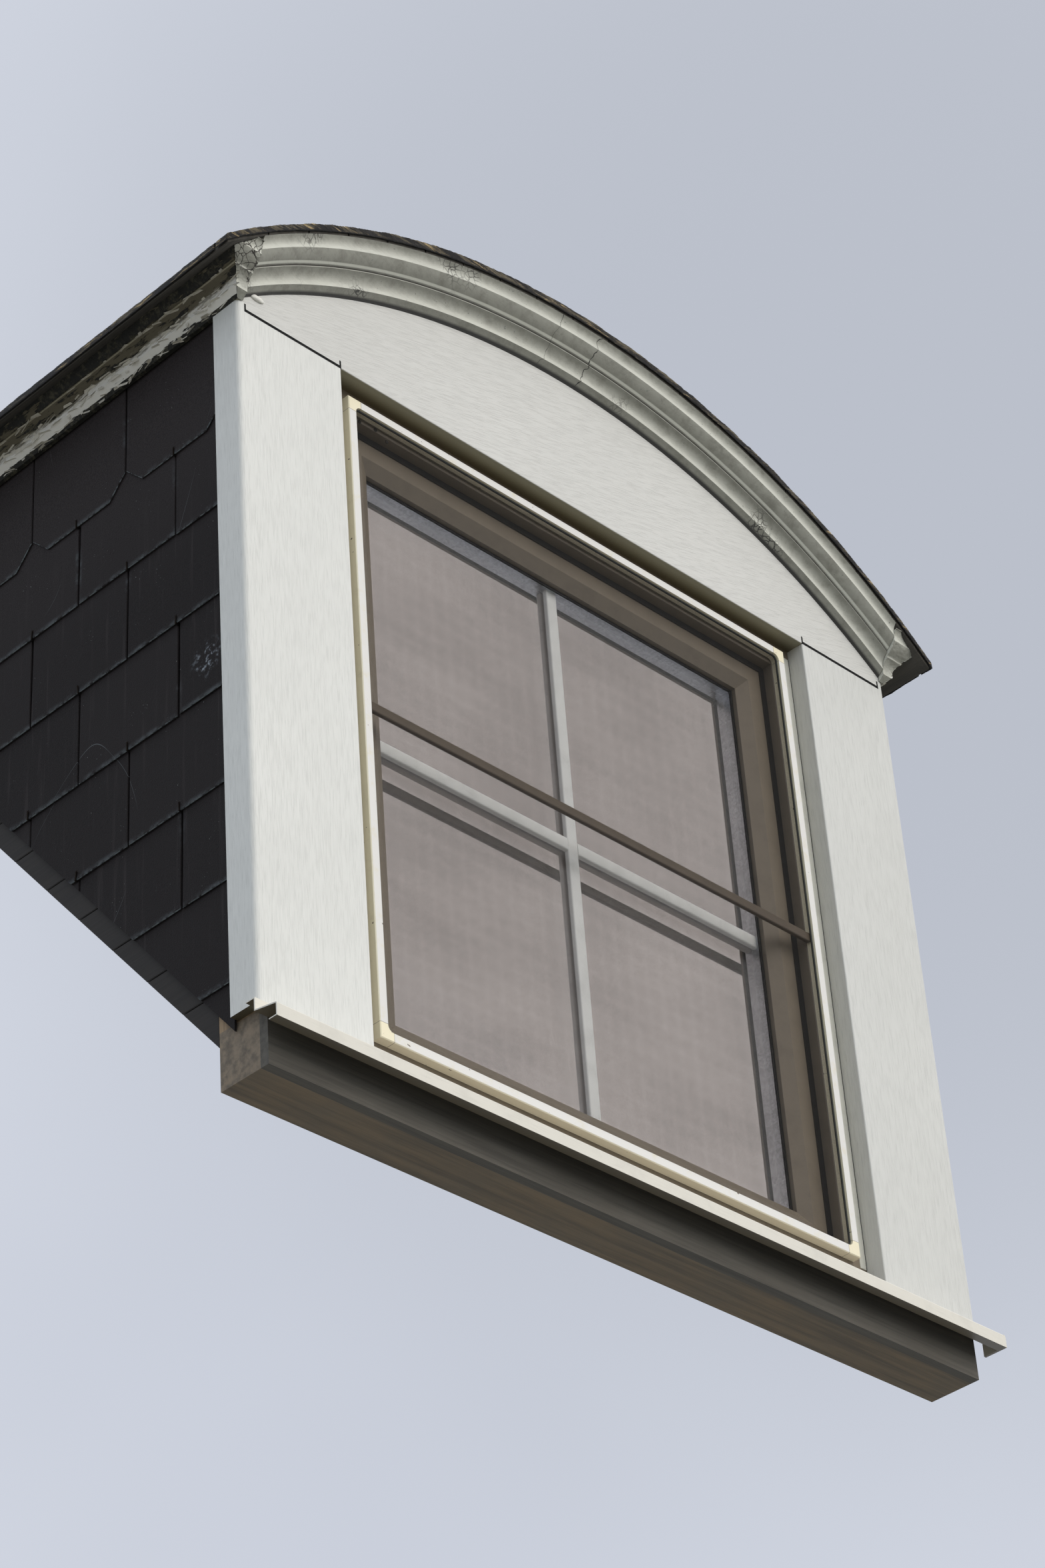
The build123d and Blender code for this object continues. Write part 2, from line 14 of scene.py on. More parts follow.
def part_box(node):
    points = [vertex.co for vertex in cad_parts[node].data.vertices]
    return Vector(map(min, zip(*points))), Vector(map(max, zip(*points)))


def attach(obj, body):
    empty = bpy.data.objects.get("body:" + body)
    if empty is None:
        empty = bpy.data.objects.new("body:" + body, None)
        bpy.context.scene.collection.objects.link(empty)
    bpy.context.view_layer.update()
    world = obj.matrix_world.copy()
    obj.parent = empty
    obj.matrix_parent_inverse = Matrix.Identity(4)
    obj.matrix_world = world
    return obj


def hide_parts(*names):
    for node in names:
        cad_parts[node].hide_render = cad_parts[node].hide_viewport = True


bl_info = {
    "name": "Arched dormer window",
    "version": (1, 0, 0),
    "blender": (4, 5, 0),
    "location": "View3D > Sidebar > Dormer",
    "description": "Dresses the frame of an arched dormer window",
    "category": "Object",
}

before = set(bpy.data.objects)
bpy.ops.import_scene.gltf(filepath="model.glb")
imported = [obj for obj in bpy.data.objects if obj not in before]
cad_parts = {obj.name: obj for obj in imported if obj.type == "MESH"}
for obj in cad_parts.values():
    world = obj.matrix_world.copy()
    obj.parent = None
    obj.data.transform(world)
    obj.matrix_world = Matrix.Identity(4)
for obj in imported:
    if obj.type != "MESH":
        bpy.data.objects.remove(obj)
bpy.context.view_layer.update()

SIDES = (("left", -1), ("right", 1))

# Main roof under the dormer: the underside of everything follows this slope
ROOF_SLOPE = math.tan(math.radians(50.6))
RAFTER_RISE = 0.023

# Arch that the cornice follows: height of its centre and its radius
ARCH_CENTRE = 0.4044
ARCH_RADIUS = 1.4116

# Foot and height of the cornice over the cheeks, and the lines above its foot where paint curls
CORNICE_FOOT = 1.5315
CORNICE_HEIGHT = 0.101
FLAKE_LINES = (0.003, 0.004, 0.013, 0.016, 0.024, 0.030, 0.046)

# Where the first slate starts, in courses with even and with odd numbers
FIRST_SLATE = (-0.010, -0.1375)

# How far above the rafters the slates, their hooks and the paint flakes end
SLATE_LIFT = 0.0599
HOOK_LIFT = 0.075
FLAKE_LIFT = 0.12

# Width of the turned-down rim of the felt, with the first part of its field
FELT_RIM = 0.034

# Places of the smudge on a slate of the left cheek and of the lump of filler in the cornice
SMUDGE = (-0.8436, 0.045, 0.822)
FILLER = (-0.804, -0.062, 1.557)

# Trims on the window frame: how far from the middle the light strips beside the screen stand
# (painted light on the frame face), how far the thin black strips stand (painted shadow in the gap
# to the reveal), and the places of the screw caps
STRIPS_AWAY = 0.598
SHADOW_GAPS_AWAY = 0.607
SCREW_CAPS = ((-0.4657, 1.448), (-0.4925, 1.461), (-0.5313, 1.458))

FORWARD = (0.0, -1.0, 0.0)
UP = (0.0, 0.0, 1.0)
DOWN = (0.0, 0.0, -1.0)


def linear(hex_colour):
    """An sRGB hex colour as linear red, green, blue and alpha."""
    channels = [int(hex_colour[i:i + 2], 16) / 255 for i in (1, 3, 5)]
    return [c / 12.92 if c <= 0.04045 else ((c + 0.055) / 1.055) ** 2.4 for c in channels] + [1.0]


def length_value(name, description, default):
    """Setting that holds a length."""
    return FloatProperty(name=name, description=description, default=default, unit="LENGTH", precision=4)


def colour_value(name, description, hex_colour):
    """Setting that holds a colour."""
    return FloatVectorProperty(
        name=name, description=description, default=linear(hex_colour), size=4,
        subtype="COLOR", min=0.0, max=1.0,
    )


class DormerSizes(bpy.types.PropertyGroup):
    """Sizes of the pieces that the scene adds"""
    slate_width: length_value("Slate width", "Width of one slate", 0.250)
    slate_gap: length_value("Slate gap", "Open joint between two slates", 0.0037)
    slate_thick: length_value("Slate thickness", "Thickness of one slate", 0.004)
    slate_lap: length_value("Slate lap", "How far a slate reaches under the course above", 0.060)
    top_course: length_value("Top course", "Exposed height of the dog-eared course", 0.1744)
    course: length_value("Course", "Exposed height of every other course", 0.1894)
    top_course_low: length_value("Top course edge", "Height of the lower edge of the top course", 1.2990)
    dog_ear: length_value("Dog-ear", "Cut at the lower corners of the top course", 0.042)
    hook_wire: length_value("Hook wire", "Diameter of the wire of a slate hook", 0.0027)
    hook_nose: length_value("Hook nose", "Height of a slate hook's nose", 0.016)
    mesh_pitch: length_value("Mesh pitch", "Distance between two wires of the insect mesh", 0.0016)
    mesh_wire: length_value("Mesh wire", "Thickness of a wire of the insect mesh", 0.00014)
    glazing_bar: length_value("Glazing bar", "Width of the bars between the panes", 0.026)
    board_width: length_value("Board width", "Width of a roof or cheek board", 0.100)
    board_gap: length_value("Board gap", "Open joint between two boards", 0.002)
    flakes: IntProperty(
        name="Paint flakes", description="Curled flakes on each cheek moulding", default=320, min=0
    )


class DormerColours(bpy.types.PropertyGroup):
    """Colours of the finishes"""
    foil: colour_value("Casing foil", "White foil on the casings", "#DDDDD8")
    # The tympanum's foil is darker than the casings': painted shade under the cornice.
    tympanum: colour_value("Tympanum foil", "White foil over the window", "#D1D0CB")
    old_paint: colour_value("Old paint", "Gloss paint on the cornice", "#CFCFC4")
    mould: colour_value("Mould", "Black growth on the cheek mouldings", "#1B1A15")
    # Olive of algal growth in patches, also laid on faces that look down as painted shade.
    algae_and_shade: colour_value("Algae", "Olive growth on faces that look down", "#5A574A")
    slate: colour_value("Slate", "Face of the slates", "#1E1B1B")
    slate_edge: colour_value("Slate edge", "Worn edges of the slates", "#6C7375")
    bitumen: colour_value("Bitumen", "Roof covering", "#161514")
    frame_plastic: colour_value("Window plastic", "Window frame and sash", "#7A6F60")
    screen_white: colour_value("Screen white", "Front of the insect screen's bars", "#DDDBD7")
    screen_cream: colour_value("Screen cream", "Yellowed sides and corners of the screen", "#F0E7C9")
    sill: colour_value("Sill", "Powder coat of the sill", "#DAD6CB")
    timber: colour_value("Timber", "Sawn softwood", "#A98C68")
    floor: colour_value("Floor", "Pale floor", "#BEBFC0")
    sky: colour_value("Background", "Pale background", "#D5DAE5")


def node(tree, kind, inputs=None, output=0, **settings):
    """Add a shader node, set its properties, fill or link its inputs, and give one output."""
    made = tree.nodes.new("ShaderNode" + kind)
    for name, value in settings.items():
        setattr(made, name, value)
    for key, value in (inputs or {}).items():
        if isinstance(value, bpy.types.NodeSocket):
            tree.links.new(value, made.inputs[key])
        else:
            made.inputs[key].default_value = value
    return made.outputs[output] if made.outputs else None


def new_finish(name, roughness, metallic=0.0, specular=0.5, alpha=1.0):
    """Material with its tree and the object's coordinates."""
    made = bpy.data.materials.new(name)
    made.use_nodes = True
    surface = made.node_tree.nodes["Principled BSDF"].inputs
    surface["Roughness"].default_value = roughness
    surface["Metallic"].default_value = metallic
    surface["Specular IOR Level"].default_value = specular
    surface["Alpha"].default_value = alpha
    return made, made.node_tree, node(made.node_tree, "TexCoord", output="Object")


def finished(made, tone, height=None, depth=0.0):
    """Lead a tone to the material's surface, with a relief of some depth. A depth below zero
    sinks the relief."""
    tree = made.node_tree
    surface = tree.nodes["Principled BSDF"].inputs
    tree.links.new(tone, surface["Base Color"])
    if height:
        relief = node(
            tree, "Bump", {"Strength": 0.6, "Distance": abs(depth), "Height": height}, invert=depth < 0
        )
        tree.links.new(relief, surface["Normal"])
    return made


def shade(colour, share):
    """The colour at a share of its strength."""
    return [c * share for c in colour[:3]] + [1.0]


def layered(tree, tone, *layers):
    """Tone with layers of mask and colour laid over it in turn."""
    for mask, colour in layers:
        tone = node(tree, "Mix", {0: mask, 6: tone, 7: colour}, 2, data_type="RGBA")
    return tone


def both(tree, *masks):
    """Mask of where all the masks hold."""
    return reduce(lambda a, b: node(tree, "Math", {0: a, 1: b}, operation="MULTIPLY"), masks)


def either(tree, *masks):
    """Mask of where any of the masks holds."""
    return reduce(lambda a, b: node(tree, "Math", {0: a, 1: b}, operation="MAXIMUM"), masks)


def patches(tree, space, scale, low, high, detail=5.0, rough=0.6, stretch=(1.0, 1.0, 1.0)):
    """Mask of soft-edged patches: noise at a scale per metre, faded in between two levels."""
    sized = node(tree, "Mapping", {"Vector": space, "Scale": stretch})
    cloud = node(tree, "TexNoise", {"Vector": sized, "Scale": scale, "Detail": detail, "Roughness": rough})
    return node(
        tree, "MapRange", {"Value": cloud, "From Min": low, "From Max": high},
        interpolation_type="SMOOTHSTEP",
    )


def crazing(tree, space, cell, width):
    """Mask of the ragged cracks between cells of a size. The width is a share of a cell."""
    ragged = node(tree, "TexNoise", {"Vector": space, "Scale": 0.6 / cell, "Detail": 4.0}, "Color")
    moved = node(tree, "VectorMath", {0: ragged, "Scale": 1.3 * cell}, operation="SCALE")
    place = node(tree, "VectorMath", {0: space, 1: moved}, operation="ADD")
    edge = node(
        tree, "TexVoronoi", {"Vector": place, "Scale": 1 / cell}, "Distance", feature="DISTANCE_TO_EDGE"
    )
    return node(
        tree, "MapRange", {"Value": edge, "From Min": width, "From Max": 0.3 * width},
        interpolation_type="SMOOTHSTEP",
    )


def hairline(tree, value, middle, width):
    """Mask of a line where a value passes through its middle."""
    offset = node(tree, "Math", {0: value, 1: middle}, operation="SUBTRACT")
    away = node(tree, "Math", {0: offset}, operation="ABSOLUTE")
    return node(
        tree, "MapRange", {"Value": away, "From Min": width, "From Max": 0.4 * width},
        interpolation_type="SMOOTHSTEP",
    )


def zone(tree, space, axis, start, end):
    """Mask that fades in from one place to another along an axis."""
    place = node(tree, "SeparateXYZ", {0: space}, axis)
    return node(
        tree, "MapRange", {"Value": place, "From Min": start, "From Max": end},
        interpolation_type="SMOOTHSTEP",
    )


def towards(tree, vector, direction, start, end):
    """Mask of where a unit vector points along a direction, faded in between two cosines."""
    along = node(tree, "VectorMath", {0: vector, 1: direction}, "Value", operation="DOT_PRODUCT")
    return node(
        tree, "MapRange", {"Value": along, "From Min": start, "From Max": end},
        interpolation_type="SMOOTHSTEP",
    )


def facing(tree, direction, start, end):
    """Mask of the faces that look along a direction, faded in between two cosines."""
    return towards(tree, node(tree, "NewGeometry", output="Normal"), direction, start, end)


def near_spot(tree, space, place, radius):
    """Mask of a soft round spot about a place."""
    away = node(tree, "VectorMath", {0: space, 1: place}, "Value", operation="DISTANCE")
    return node(
        tree, "MapRange", {"Value": away, "From Min": radius, "From Max": 0.2 * radius},
        interpolation_type="SMOOTHSTEP",
    )


def mixed_colour(first, second, share):
    """Colour between two, at a share of the second."""
    return [a + (b - a) * share for a, b in zip(first[:3], second[:3])] + [1.0]


def foiled_plastic(name, colour, grain, turn=0.0):
    """Foil-wrapped PVC cladding. Its embossed wood grain shows as fine streaks 1.5 mm wide and
    40 mm long, with a broader figure under them, below a satin skin. Faces that look down are olive
    and darker towards the window frame: partly dirt, partly painted shade in the reveal."""
    made, tree, coords = new_finish(name, 0.42)
    along = node(tree, "Mapping", {"Vector": coords, "Rotation": (0.0, turn, 0.0)})
    fine = patches(tree, along, 1.0, 0.46, 0.70, 3.0, stretch=grain)
    broad = patches(tree, along, 0.3, 0.50, 0.75, 3.0, stretch=grain)
    dust = patches(tree, coords, 2.6, 0.35, 0.75)
    # Faces that look down: olive and darker towards the window frame, partly dirt and partly painted shade.
    dirt = layered(tree, linear("#989480"), (zone(tree, coords, 1, -0.056, -0.026), linear("#574F3C")))
    tone = layered(
        tree, colour, (dust, shade(colour, 0.95)), (broad, shade(colour, 0.94)), (fine, shade(colour, 0.86)),
        (facing(tree, DOWN, 0.5, 0.9), dirt),
    )
    return finished(made, tone, fine, -0.0003)


def powder_coat(name, colour):
    """Powder-coated folded aluminium: a fine orange peel, rain streaks and thin dust. Faces that
    look down are dark olive: painted shade.
    """
    made, tree, coords = new_finish(name, 0.32)
    peel = patches(tree, coords, 420.0, 0.3, 0.7, 2.0)
    streaks = patches(tree, coords, 1.0, 0.52, 0.74, 4.0, stretch=(14.0, 300.0, 300.0))
    dust = patches(tree, coords, 18.0, 0.45, 0.8, 7.0)
    tone = layered(
        tree, colour, (dust, shade(colour, 0.88)), (streaks, shade(colour, 0.90)),
        # Dark olive on faces that look down: painted shade under the sill.
        (facing(tree, DOWN, 0.3, 0.8), linear("#6F6656")),
    )
    return finished(made, tone, peel, 0.00008)


def above_arch(tree, x, z):
    """Height of a place straight above the foot of the arched cornice."""
    square = node(tree, "Math", {0: x, 1: x}, operation="MULTIPLY")
    rest = node(tree, "Math", {0: ARCH_RADIUS ** 2, 1: square}, operation="SUBTRACT")
    run = node(tree, "Math", {0: rest}, operation="SQRT")
    drop = node(tree, "Math", {0: z, 1: run}, operation="SUBTRACT")
    return node(tree, "Math", {0: drop, 1: ARCH_CENTRE}, operation="SUBTRACT")


def brushed_gloss(name, colour, algae_and_shade, grime):
    """Old brushed gloss paint on the arched softwood moulding. Dirt sits in soft patches, and a dark
    line runs in the groove. Faces that look down are olive, partly algal growth and partly painted
    shade. The raised fillet is lighter as a painted highlight, a dark band at the foot is painted
    shadow with some dirt, and the coat crazes here and there. Where its lengths meet a zigzag
    hairline crosses the arch."""
    made, tree, coords = new_finish(name, 0.45)
    strokes = patches(tree, coords, 55.0, 0.4, 0.7, 4.0, stretch=(0.15, 0.15, 1.0))
    dirt = patches(tree, coords, 9.0, 0.42, 0.75, 6.0, 0.65)
    # Faces that look down: olive, partly algal growth and partly painted shade.
    under = facing(tree, (0.0, -0.1, -1.0), 0.05, 0.9)
    # Darker olive patches on those faces: partly algal growth, partly painted shade.
    stained = both(tree, under, patches(tree, coords, 30.0, 0.40, 0.72, 8.0, 0.72))
    specks = patches(tree, coords, 130.0, 0.69, 0.73, 2.0)
    crazed = both(tree, crazing(tree, coords, 0.012, 0.10), patches(tree, coords, 5.0, 0.56, 0.66, 2.0))
    x = node(tree, "SeparateXYZ", {0: coords}, 0)
    lift = above_arch(tree, x, node(tree, "SeparateXYZ", {0: coords}, 2))
    # A dark line along the groove.
    groove = hairline(tree, lift, 0.0485, 0.0022)
    # The fillet is lighter than the paint: a painted highlight on the raised line.
    fillet = hairline(tree, lift, 0.0535, 0.0024)
    # A dark band at the foot, where the cornice meets the tympanum: painted shadow, with some dirt.
    foot = hairline(tree, lift, 0.0, 0.0075)
    open_joint = hairline(tree, node(tree, "Math", {0: x}, operation="ABSOLUTE"), 0.8445, 0.0045)
    jitter = node(tree, "TexNoise", {"Vector": coords, "Scale": 26.0, "Detail": 3.0})
    leaning = node(tree, "Math", {0: lift, 1: -0.28, 2: x}, operation="MULTIPLY_ADD")
    zigzag = node(tree, "Math", {0: jitter, 1: 0.05, 2: leaning}, operation="MULTIPLY_ADD")
    seams = [hairline(tree, zigzag, middle, width) for middle, width in ((0.027, 0.0014), (-0.075, 0.0008))]
    # Dark lines: crazing cracks, the groove line, the painted shadow at the foot, the open joint and the
    # seams.
    lines = either(tree, crazed, groove, foot, open_joint, *seams)
    # Layers: brush strokes, dirt, olive on faces that look down (partly algal growth, partly painted shade),
    # specks, the painted highlight on the fillet, and the dark lines.
    tone = layered(
        tree, colour, (strokes, shade(colour, 0.94)), (dirt, shade(colour, 0.88)),
        (under, mixed_colour(algae_and_shade, colour, 0.36)), (stained, mixed_colour(algae_and_shade, colour, 0.20)),
        (specks, shade(colour, 0.35)), (fillet, shade(colour, 1.12)), (lines, grime),
    )
    raised = node(tree, "Math", {0: strokes, 1: lines}, operation="SUBTRACT")
    return finished(made, tone, raised, 0.0005)


def crackled_paint(name, paint, algae_and_shade, grime):
    """Many coats of gloss paint on the corner blocks. On the left one they craze into cells of
    13 mm with thin dark lines between, algal growth fills the hollows, and the right one is damp at
    its outer end. Faces that look down are olive, partly algal growth and partly painted shade."""
    made, tree, coords = new_finish(name, 0.5)
    gaps = both(
        tree, crazing(tree, coords, 0.013, 0.07), patches(tree, coords, 14.0, 0.47, 0.55, 3.0),
        zone(tree, coords, 0, 0.4, 0.0),
    )
    blotch = patches(tree, coords, 24.0, 0.50, 0.74, 6.0, 0.65)
    deep = patches(tree, coords, 42.0, 0.64, 0.74, 8.0, 0.72)
    damp = both(tree, zone(tree, coords, 0, 0.86, 0.93), patches(tree, coords, 40.0, 0.30, 0.60, 6.0))
    tone = layered(
        # Faces that look down: olive, partly algal growth and partly painted shade.
        tree, paint, (facing(tree, DOWN, -0.2, 0.9), mixed_colour(algae_and_shade, paint, 0.35)),
        (blotch, mixed_colour(algae_and_shade, paint, 0.65)), (deep, mixed_colour(algae_and_shade, paint, 0.2)),
        (damp, mixed_colour(algae_and_shade, grime, 0.35)), (gaps, grime),
    )
    raised = node(tree, "Math", {0: 0.3, 1: gaps}, operation="SUBTRACT")
    return finished(made, tone, raised, 0.0010)


def flaking_paint(name, bright, algae_and_shade, mould):
    """Gloss paint that flakes off the softwood mouldings over the cheeks. The bead and the lower
    cove keep a bright white with torn edges, the upper cove is olive, partly dirt and partly painted
    shade where it turns to face down, the fillet is a pale line, and black mould covers the crown
    above and the soffit below."""
    made, tree, coords = new_finish(name, 0.6, specular=0.2)
    height = node(tree, "SeparateXYZ", {0: coords}, 2)
    part = node(
        tree, "MapRange",
        {"Value": height, "From Min": CORNICE_FOOT, "From Max": CORNICE_FOOT + CORNICE_HEIGHT},
    )
    kept = node(tree, "ValToRGB", {0: part})
    stops = kept.node.color_ramp.elements
    stops[1].color = (0.20, 0.20, 0.20, 1.0)
    for place, share in (
        (0.03, 0.0), (0.05, 0.52), (0.10, 0.72), (0.20, 0.78), (0.28, 0.56), (0.42, 0.54), (0.448, 0.75),
        (0.478, 0.72), (0.49, 0.46), (0.60, 0.42), (0.75, 0.30),
    ):
        stops.new(place).color = (share, share, share, 1.0)
    drawn_out = node(tree, "Mapping", {"Vector": coords, "Scale": (1.0, 0.17, 1.0)})
    torn = node(tree, "TexNoise", {"Vector": drawn_out, "Scale": 95.0, "Detail": 9.0, "Roughness": 0.66})
    margin = node(tree, "Math", {0: kept, 1: torn}, operation="SUBTRACT")
    coat = node(
        tree, "MapRange", {"Value": margin, "From Min": 0.0, "From Max": 0.03},
        interpolation_type="SMOOTHSTEP",
    )
    soft = node(tree, "Math", {0: torn, 1: 0.05, 2: height}, operation="MULTIPLY_ADD")
    # The upper cove is olive-dark: partly dirt, partly painted shade where the cove turns to face down.
    upper = node(
        tree, "MapRange",
        {"Value": soft, "From Min": CORNICE_FOOT + 0.044, "From Max": CORNICE_FOOT + 0.056},
        interpolation_type="SMOOTHSTEP",
    )
    fillet = hairline(tree, height, CORNICE_FOOT + 0.0467, 0.0022)
    stain = patches(tree, coords, 26.0, 0.50, 0.74, 8.0, 0.75)
    paint = layered(
        tree, bright, (stain, shade(bright, 0.88)), (upper, linear("#6E6858")), (fillet, linear("#BDB7A3"))
    )
    growth = layered(
        tree, mould, (patches(tree, coords, 60.0, 0.48, 0.66, 8.0, 0.75), algae_and_shade),
        (patches(tree, coords, 80.0, 0.64, 0.76, 8.0, 0.75), linear("#83806D")),
    )
    crust = patches(tree, coords, 90.0, 0.35, 0.7, 7.0, 0.7)
    raised = node(tree, "Math", {0: crust, 1: 0.4, 2: coat}, operation="MULTIPLY_ADD")
    return finished(made, layered(tree, growth, (coat, paint)), raised, 0.0012)


def fibre_cement(name, colour, slate_width, worn=None):
    """Coated fibre-cement slate: dark and matt, paler towards the top as painted sheen, with rain
    streaks, long fine scratches, white specks, and a crisp grey line where the coat has worn at the
    edges."""
    made, tree, coords = new_finish(name, 0.62, specular=0.09)
    face = node(tree, "TexCoord", output="UV")
    lightness = node(tree, "Attribute", output="Fac", attribute_name="tone")
    # Paler towards the top of the cheek: painted sheen.
    painted_sheen_above = zone(tree, coords, 2, 0.95, 1.45)
    grit = patches(tree, coords, 420.0, 0.3, 0.7, 3.0)
    rain = patches(tree, coords, 1.0, 0.56, 0.74, 4.0, stretch=(70.0, 70.0, 3.0))
    curls = node(tree, "TexNoise", {"Vector": coords, "Scale": 2.2, "Detail": 0.5})
    scratch = both(tree, hairline(tree, curls, 0.52, 0.0005), patches(tree, coords, 4.0, 0.50, 0.60, 2.0))
    sides = either(
        tree, zone(tree, face, 0, 0.010, 0.0), zone(tree, face, 0, slate_width - 0.010, slate_width)
    )
    sides = both(tree, sides, patches(tree, coords, 9.0, 0.52, 0.70, 4.0))
    rim = either(tree, zone(tree, face, 1, 0.012, 0.0), sides)
    bloom = both(tree, rim, patches(tree, coords, 34.0, 0.36, 0.70, 6.0, 0.7))
    specks = both(tree, patches(tree, coords, 300.0, 0.71, 0.75, 2.0), patches(tree, coords, 14.0, 0.5, 0.7))
    smudge = both(tree, near_spot(tree, coords, SMUDGE, 0.046), patches(tree, coords, 110.0, 0.50, 0.72, 5.0))
    tone = layered(
        tree, shade(colour, 0.75), (lightness, shade(colour, 1.35)), (painted_sheen_above, shade(colour, 2.9)),
        (grit, shade(colour, 1.5)), (rain, shade(colour, 2.3)), (bloom, linear("#54585B")),
        (scratch, linear("#55585A")), (specks, linear("#A3A7A6")), (smudge, linear("#9AA1A9")),
    )
    if worn:
        tone = layered(tree, tone, (patches(tree, coords, 90.0, 0.42, 0.56, 5.0), worn))
    return finished(made, tone, grit, 0.0004)


def weathered_bitumen(name, colour):
    """Bitumen felt, rolled and torched. The field is plain and dark, and the rim is black and
    lumpy, with ochre and grey weathering streaks along its upper edge."""
    made, tree, coords = new_finish(name, 0.68, specular=0.35)
    ends = node(tree, "Math", {0: node(tree, "SeparateXYZ", {0: coords}, 0)}, operation="ABSOLUTE")
    flank = node(tree, "MapRange", {"Value": ends, "From Min": 0.916, "From Max": 0.924})
    rim = either(tree, flank, zone(tree, coords, 1, -0.116, -0.124))
    upper = both(tree, rim, facing(tree, UP, -0.25, 0.12))
    lumps = patches(tree, coords, 60.0, 0.40, 0.70, 6.0)
    tone = layered(tree, colour, (lumps, shade(colour, 1.9)))
    for scale, low, high, hue in ((9.0, 0.50, 0.56, "#5E5645"), (11.0, 0.56, 0.61, "#B09A70")):
        streaks = patches(tree, coords, scale, low, high, 9.0, 0.78, stretch=(1.0, 1.0, 9.0))
        tone = layered(tree, tone, (both(tree, streaks, upper), linear(hue)))
    return finished(made, tone, lumps, 0.0018)


def satin_plastic(name, colour, roughness=0.35, dirt=0.8):
    """Extruded plastic or rubber with a satin skin and a little dust."""
    made, tree, coords = new_finish(name, roughness)
    dust = patches(tree, coords, 22.0, 0.4, 0.8, 7.0, 0.7)
    skin = patches(tree, coords, 500.0, 0.3, 0.7, 2.0)
    return finished(made, layered(tree, colour, (dust, shade(colour, dirt))), skin, 0.0001)


def yellowed_coat(name, face, side, seams=()):
    """Powder-coated aluminium that has yellowed on the faces which don't look to the front, with
    insect dirt in dots and dark seams where its lengths meet the corner pieces. Faces that look
    down are paler still: painted light, standing in for light thrown up from below."""
    made, tree, coords = new_finish(name, 0.35, specular=0.85)
    dust = patches(tree, coords, 35.0, 0.5, 0.85, 6.0, 0.7)
    marks = patches(tree, coords, 75.0, 0.71, 0.74, 2.0)
    for axis, place in seams:
        across = node(tree, "SeparateXYZ", {0: coords}, axis)
        marks = either(tree, marks, hairline(tree, across, place, 0.0009))
    tone = layered(
        tree, side, (facing(tree, FORWARD, 0.6, 0.9), face), (dust, shade(side, 0.80)),
        # Faces that look down are paler: painted light from below.
        (facing(tree, DOWN, 0.6, 0.9), linear("#FBF1D8")), (marks, linear("#4E3B2A")),
    )
    return finished(made, tone, dust, 0.0001)


def coated_glass(name, tint, alpha, roughness):
    """Float glass with a heat-reflecting coat. It mirrors part of the sky, a little softly, and
    lets the rest through. Faint bands run through it, left by the rollers."""
    made, tree, coords = new_finish(name, roughness, metallic=1.0, alpha=alpha)
    bands = patches(tree, coords, 3.0, 0.3, 0.75, 3.0, 0.5, stretch=(1.0, 1.0, 2.2))
    return finished(made, layered(tree, tint, (bands, shade(tint, 0.86))))


def painted_shade_backing(name, colour, alpha):
    """Far face of the inner pane: dark and a little cloudy, so the room behind hardly shows. The dark
    is painted shade, standing in for the dim room behind the glass."""
    made, tree, coords = new_finish(name, 0.6, specular=0.2, alpha=alpha)
    cloudy = patches(tree, coords, 5.0, 0.3, 0.75, 3.0)
    return finished(made, layered(tree, colour, (cloudy, shade(colour, 0.8))))


def sawn_timber(name, colour, stretch, worn=0.0):
    """Sawn softwood: long grain in two browns with the saw's roughness. Weather turns part of it
    grey."""
    made, tree, coords = new_finish(name, 0.75)
    grain = patches(tree, coords, 1.0, 0.35, 0.70, 6.0, 0.65, stretch=stretch)
    grey = patches(tree, coords, 7.0, 0.25, 0.75, 4.0)
    aged = mixed_colour(colour, linear("#6F6C65"), worn)
    tone = layered(tree, mixed_colour(colour, aged, 0.7), (grey, aged), (grain, shade(aged, 0.55)))
    return finished(made, tone, grain, 0.0006)


def painted_board(name, colour):
    """Interior lining board under matt white paint, with faint roller texture."""
    made, tree, coords = new_finish(name, 0.8)
    roller = patches(tree, coords, 260.0, 0.3, 0.7, 3.0)
    tone = layered(tree, colour, (patches(tree, coords, 3.0, 0.4, 0.8, 4.0), shade(colour, 0.9)))
    return finished(made, tone, roller, 0.0002)


def drawn_metal(name, colour, roughness):
    """Drawn or rolled metal, dulled outdoors, with fine mottling."""
    made, tree, coords = new_finish(name, roughness, metallic=1.0)
    mottle = patches(tree, coords, 180.0, 0.3, 0.7, 4.0)
    return finished(made, layered(tree, colour, (mottle, shade(colour, 0.7))), mottle, 0.00005)


def deselect_all():
    """Leave edit mode and clear the selection."""
    if bpy.context.object and bpy.context.object.mode != "OBJECT":
        bpy.ops.object.mode_set(mode="OBJECT")
    bpy.ops.object.select_all(action="DESELECT")


def take(obj):
    """Make obj the one selected and active object."""
    deselect_all()
    obj.select_set(True)
    bpy.context.view_layer.objects.active = obj
    return obj


def edit_whole(obj, step, **settings):
    """Run one step of edit mode on the whole mesh of obj."""
    take(obj)
    bpy.ops.object.mode_set(mode="EDIT")
    bpy.ops.mesh.select_all(action="SELECT")
    step(**settings)
    bpy.ops.object.mode_set(mode="OBJECT")


def block(size, place, name="block"):
    """Cuboid of a size with its middle at a place, with its scale and place applied."""
    deselect_all()
    bpy.ops.mesh.primitive_cube_add(size=1.0, location=place)
    made = bpy.context.object
    made.name = name
    made.scale = size
    bpy.ops.object.transform_apply()
    return made


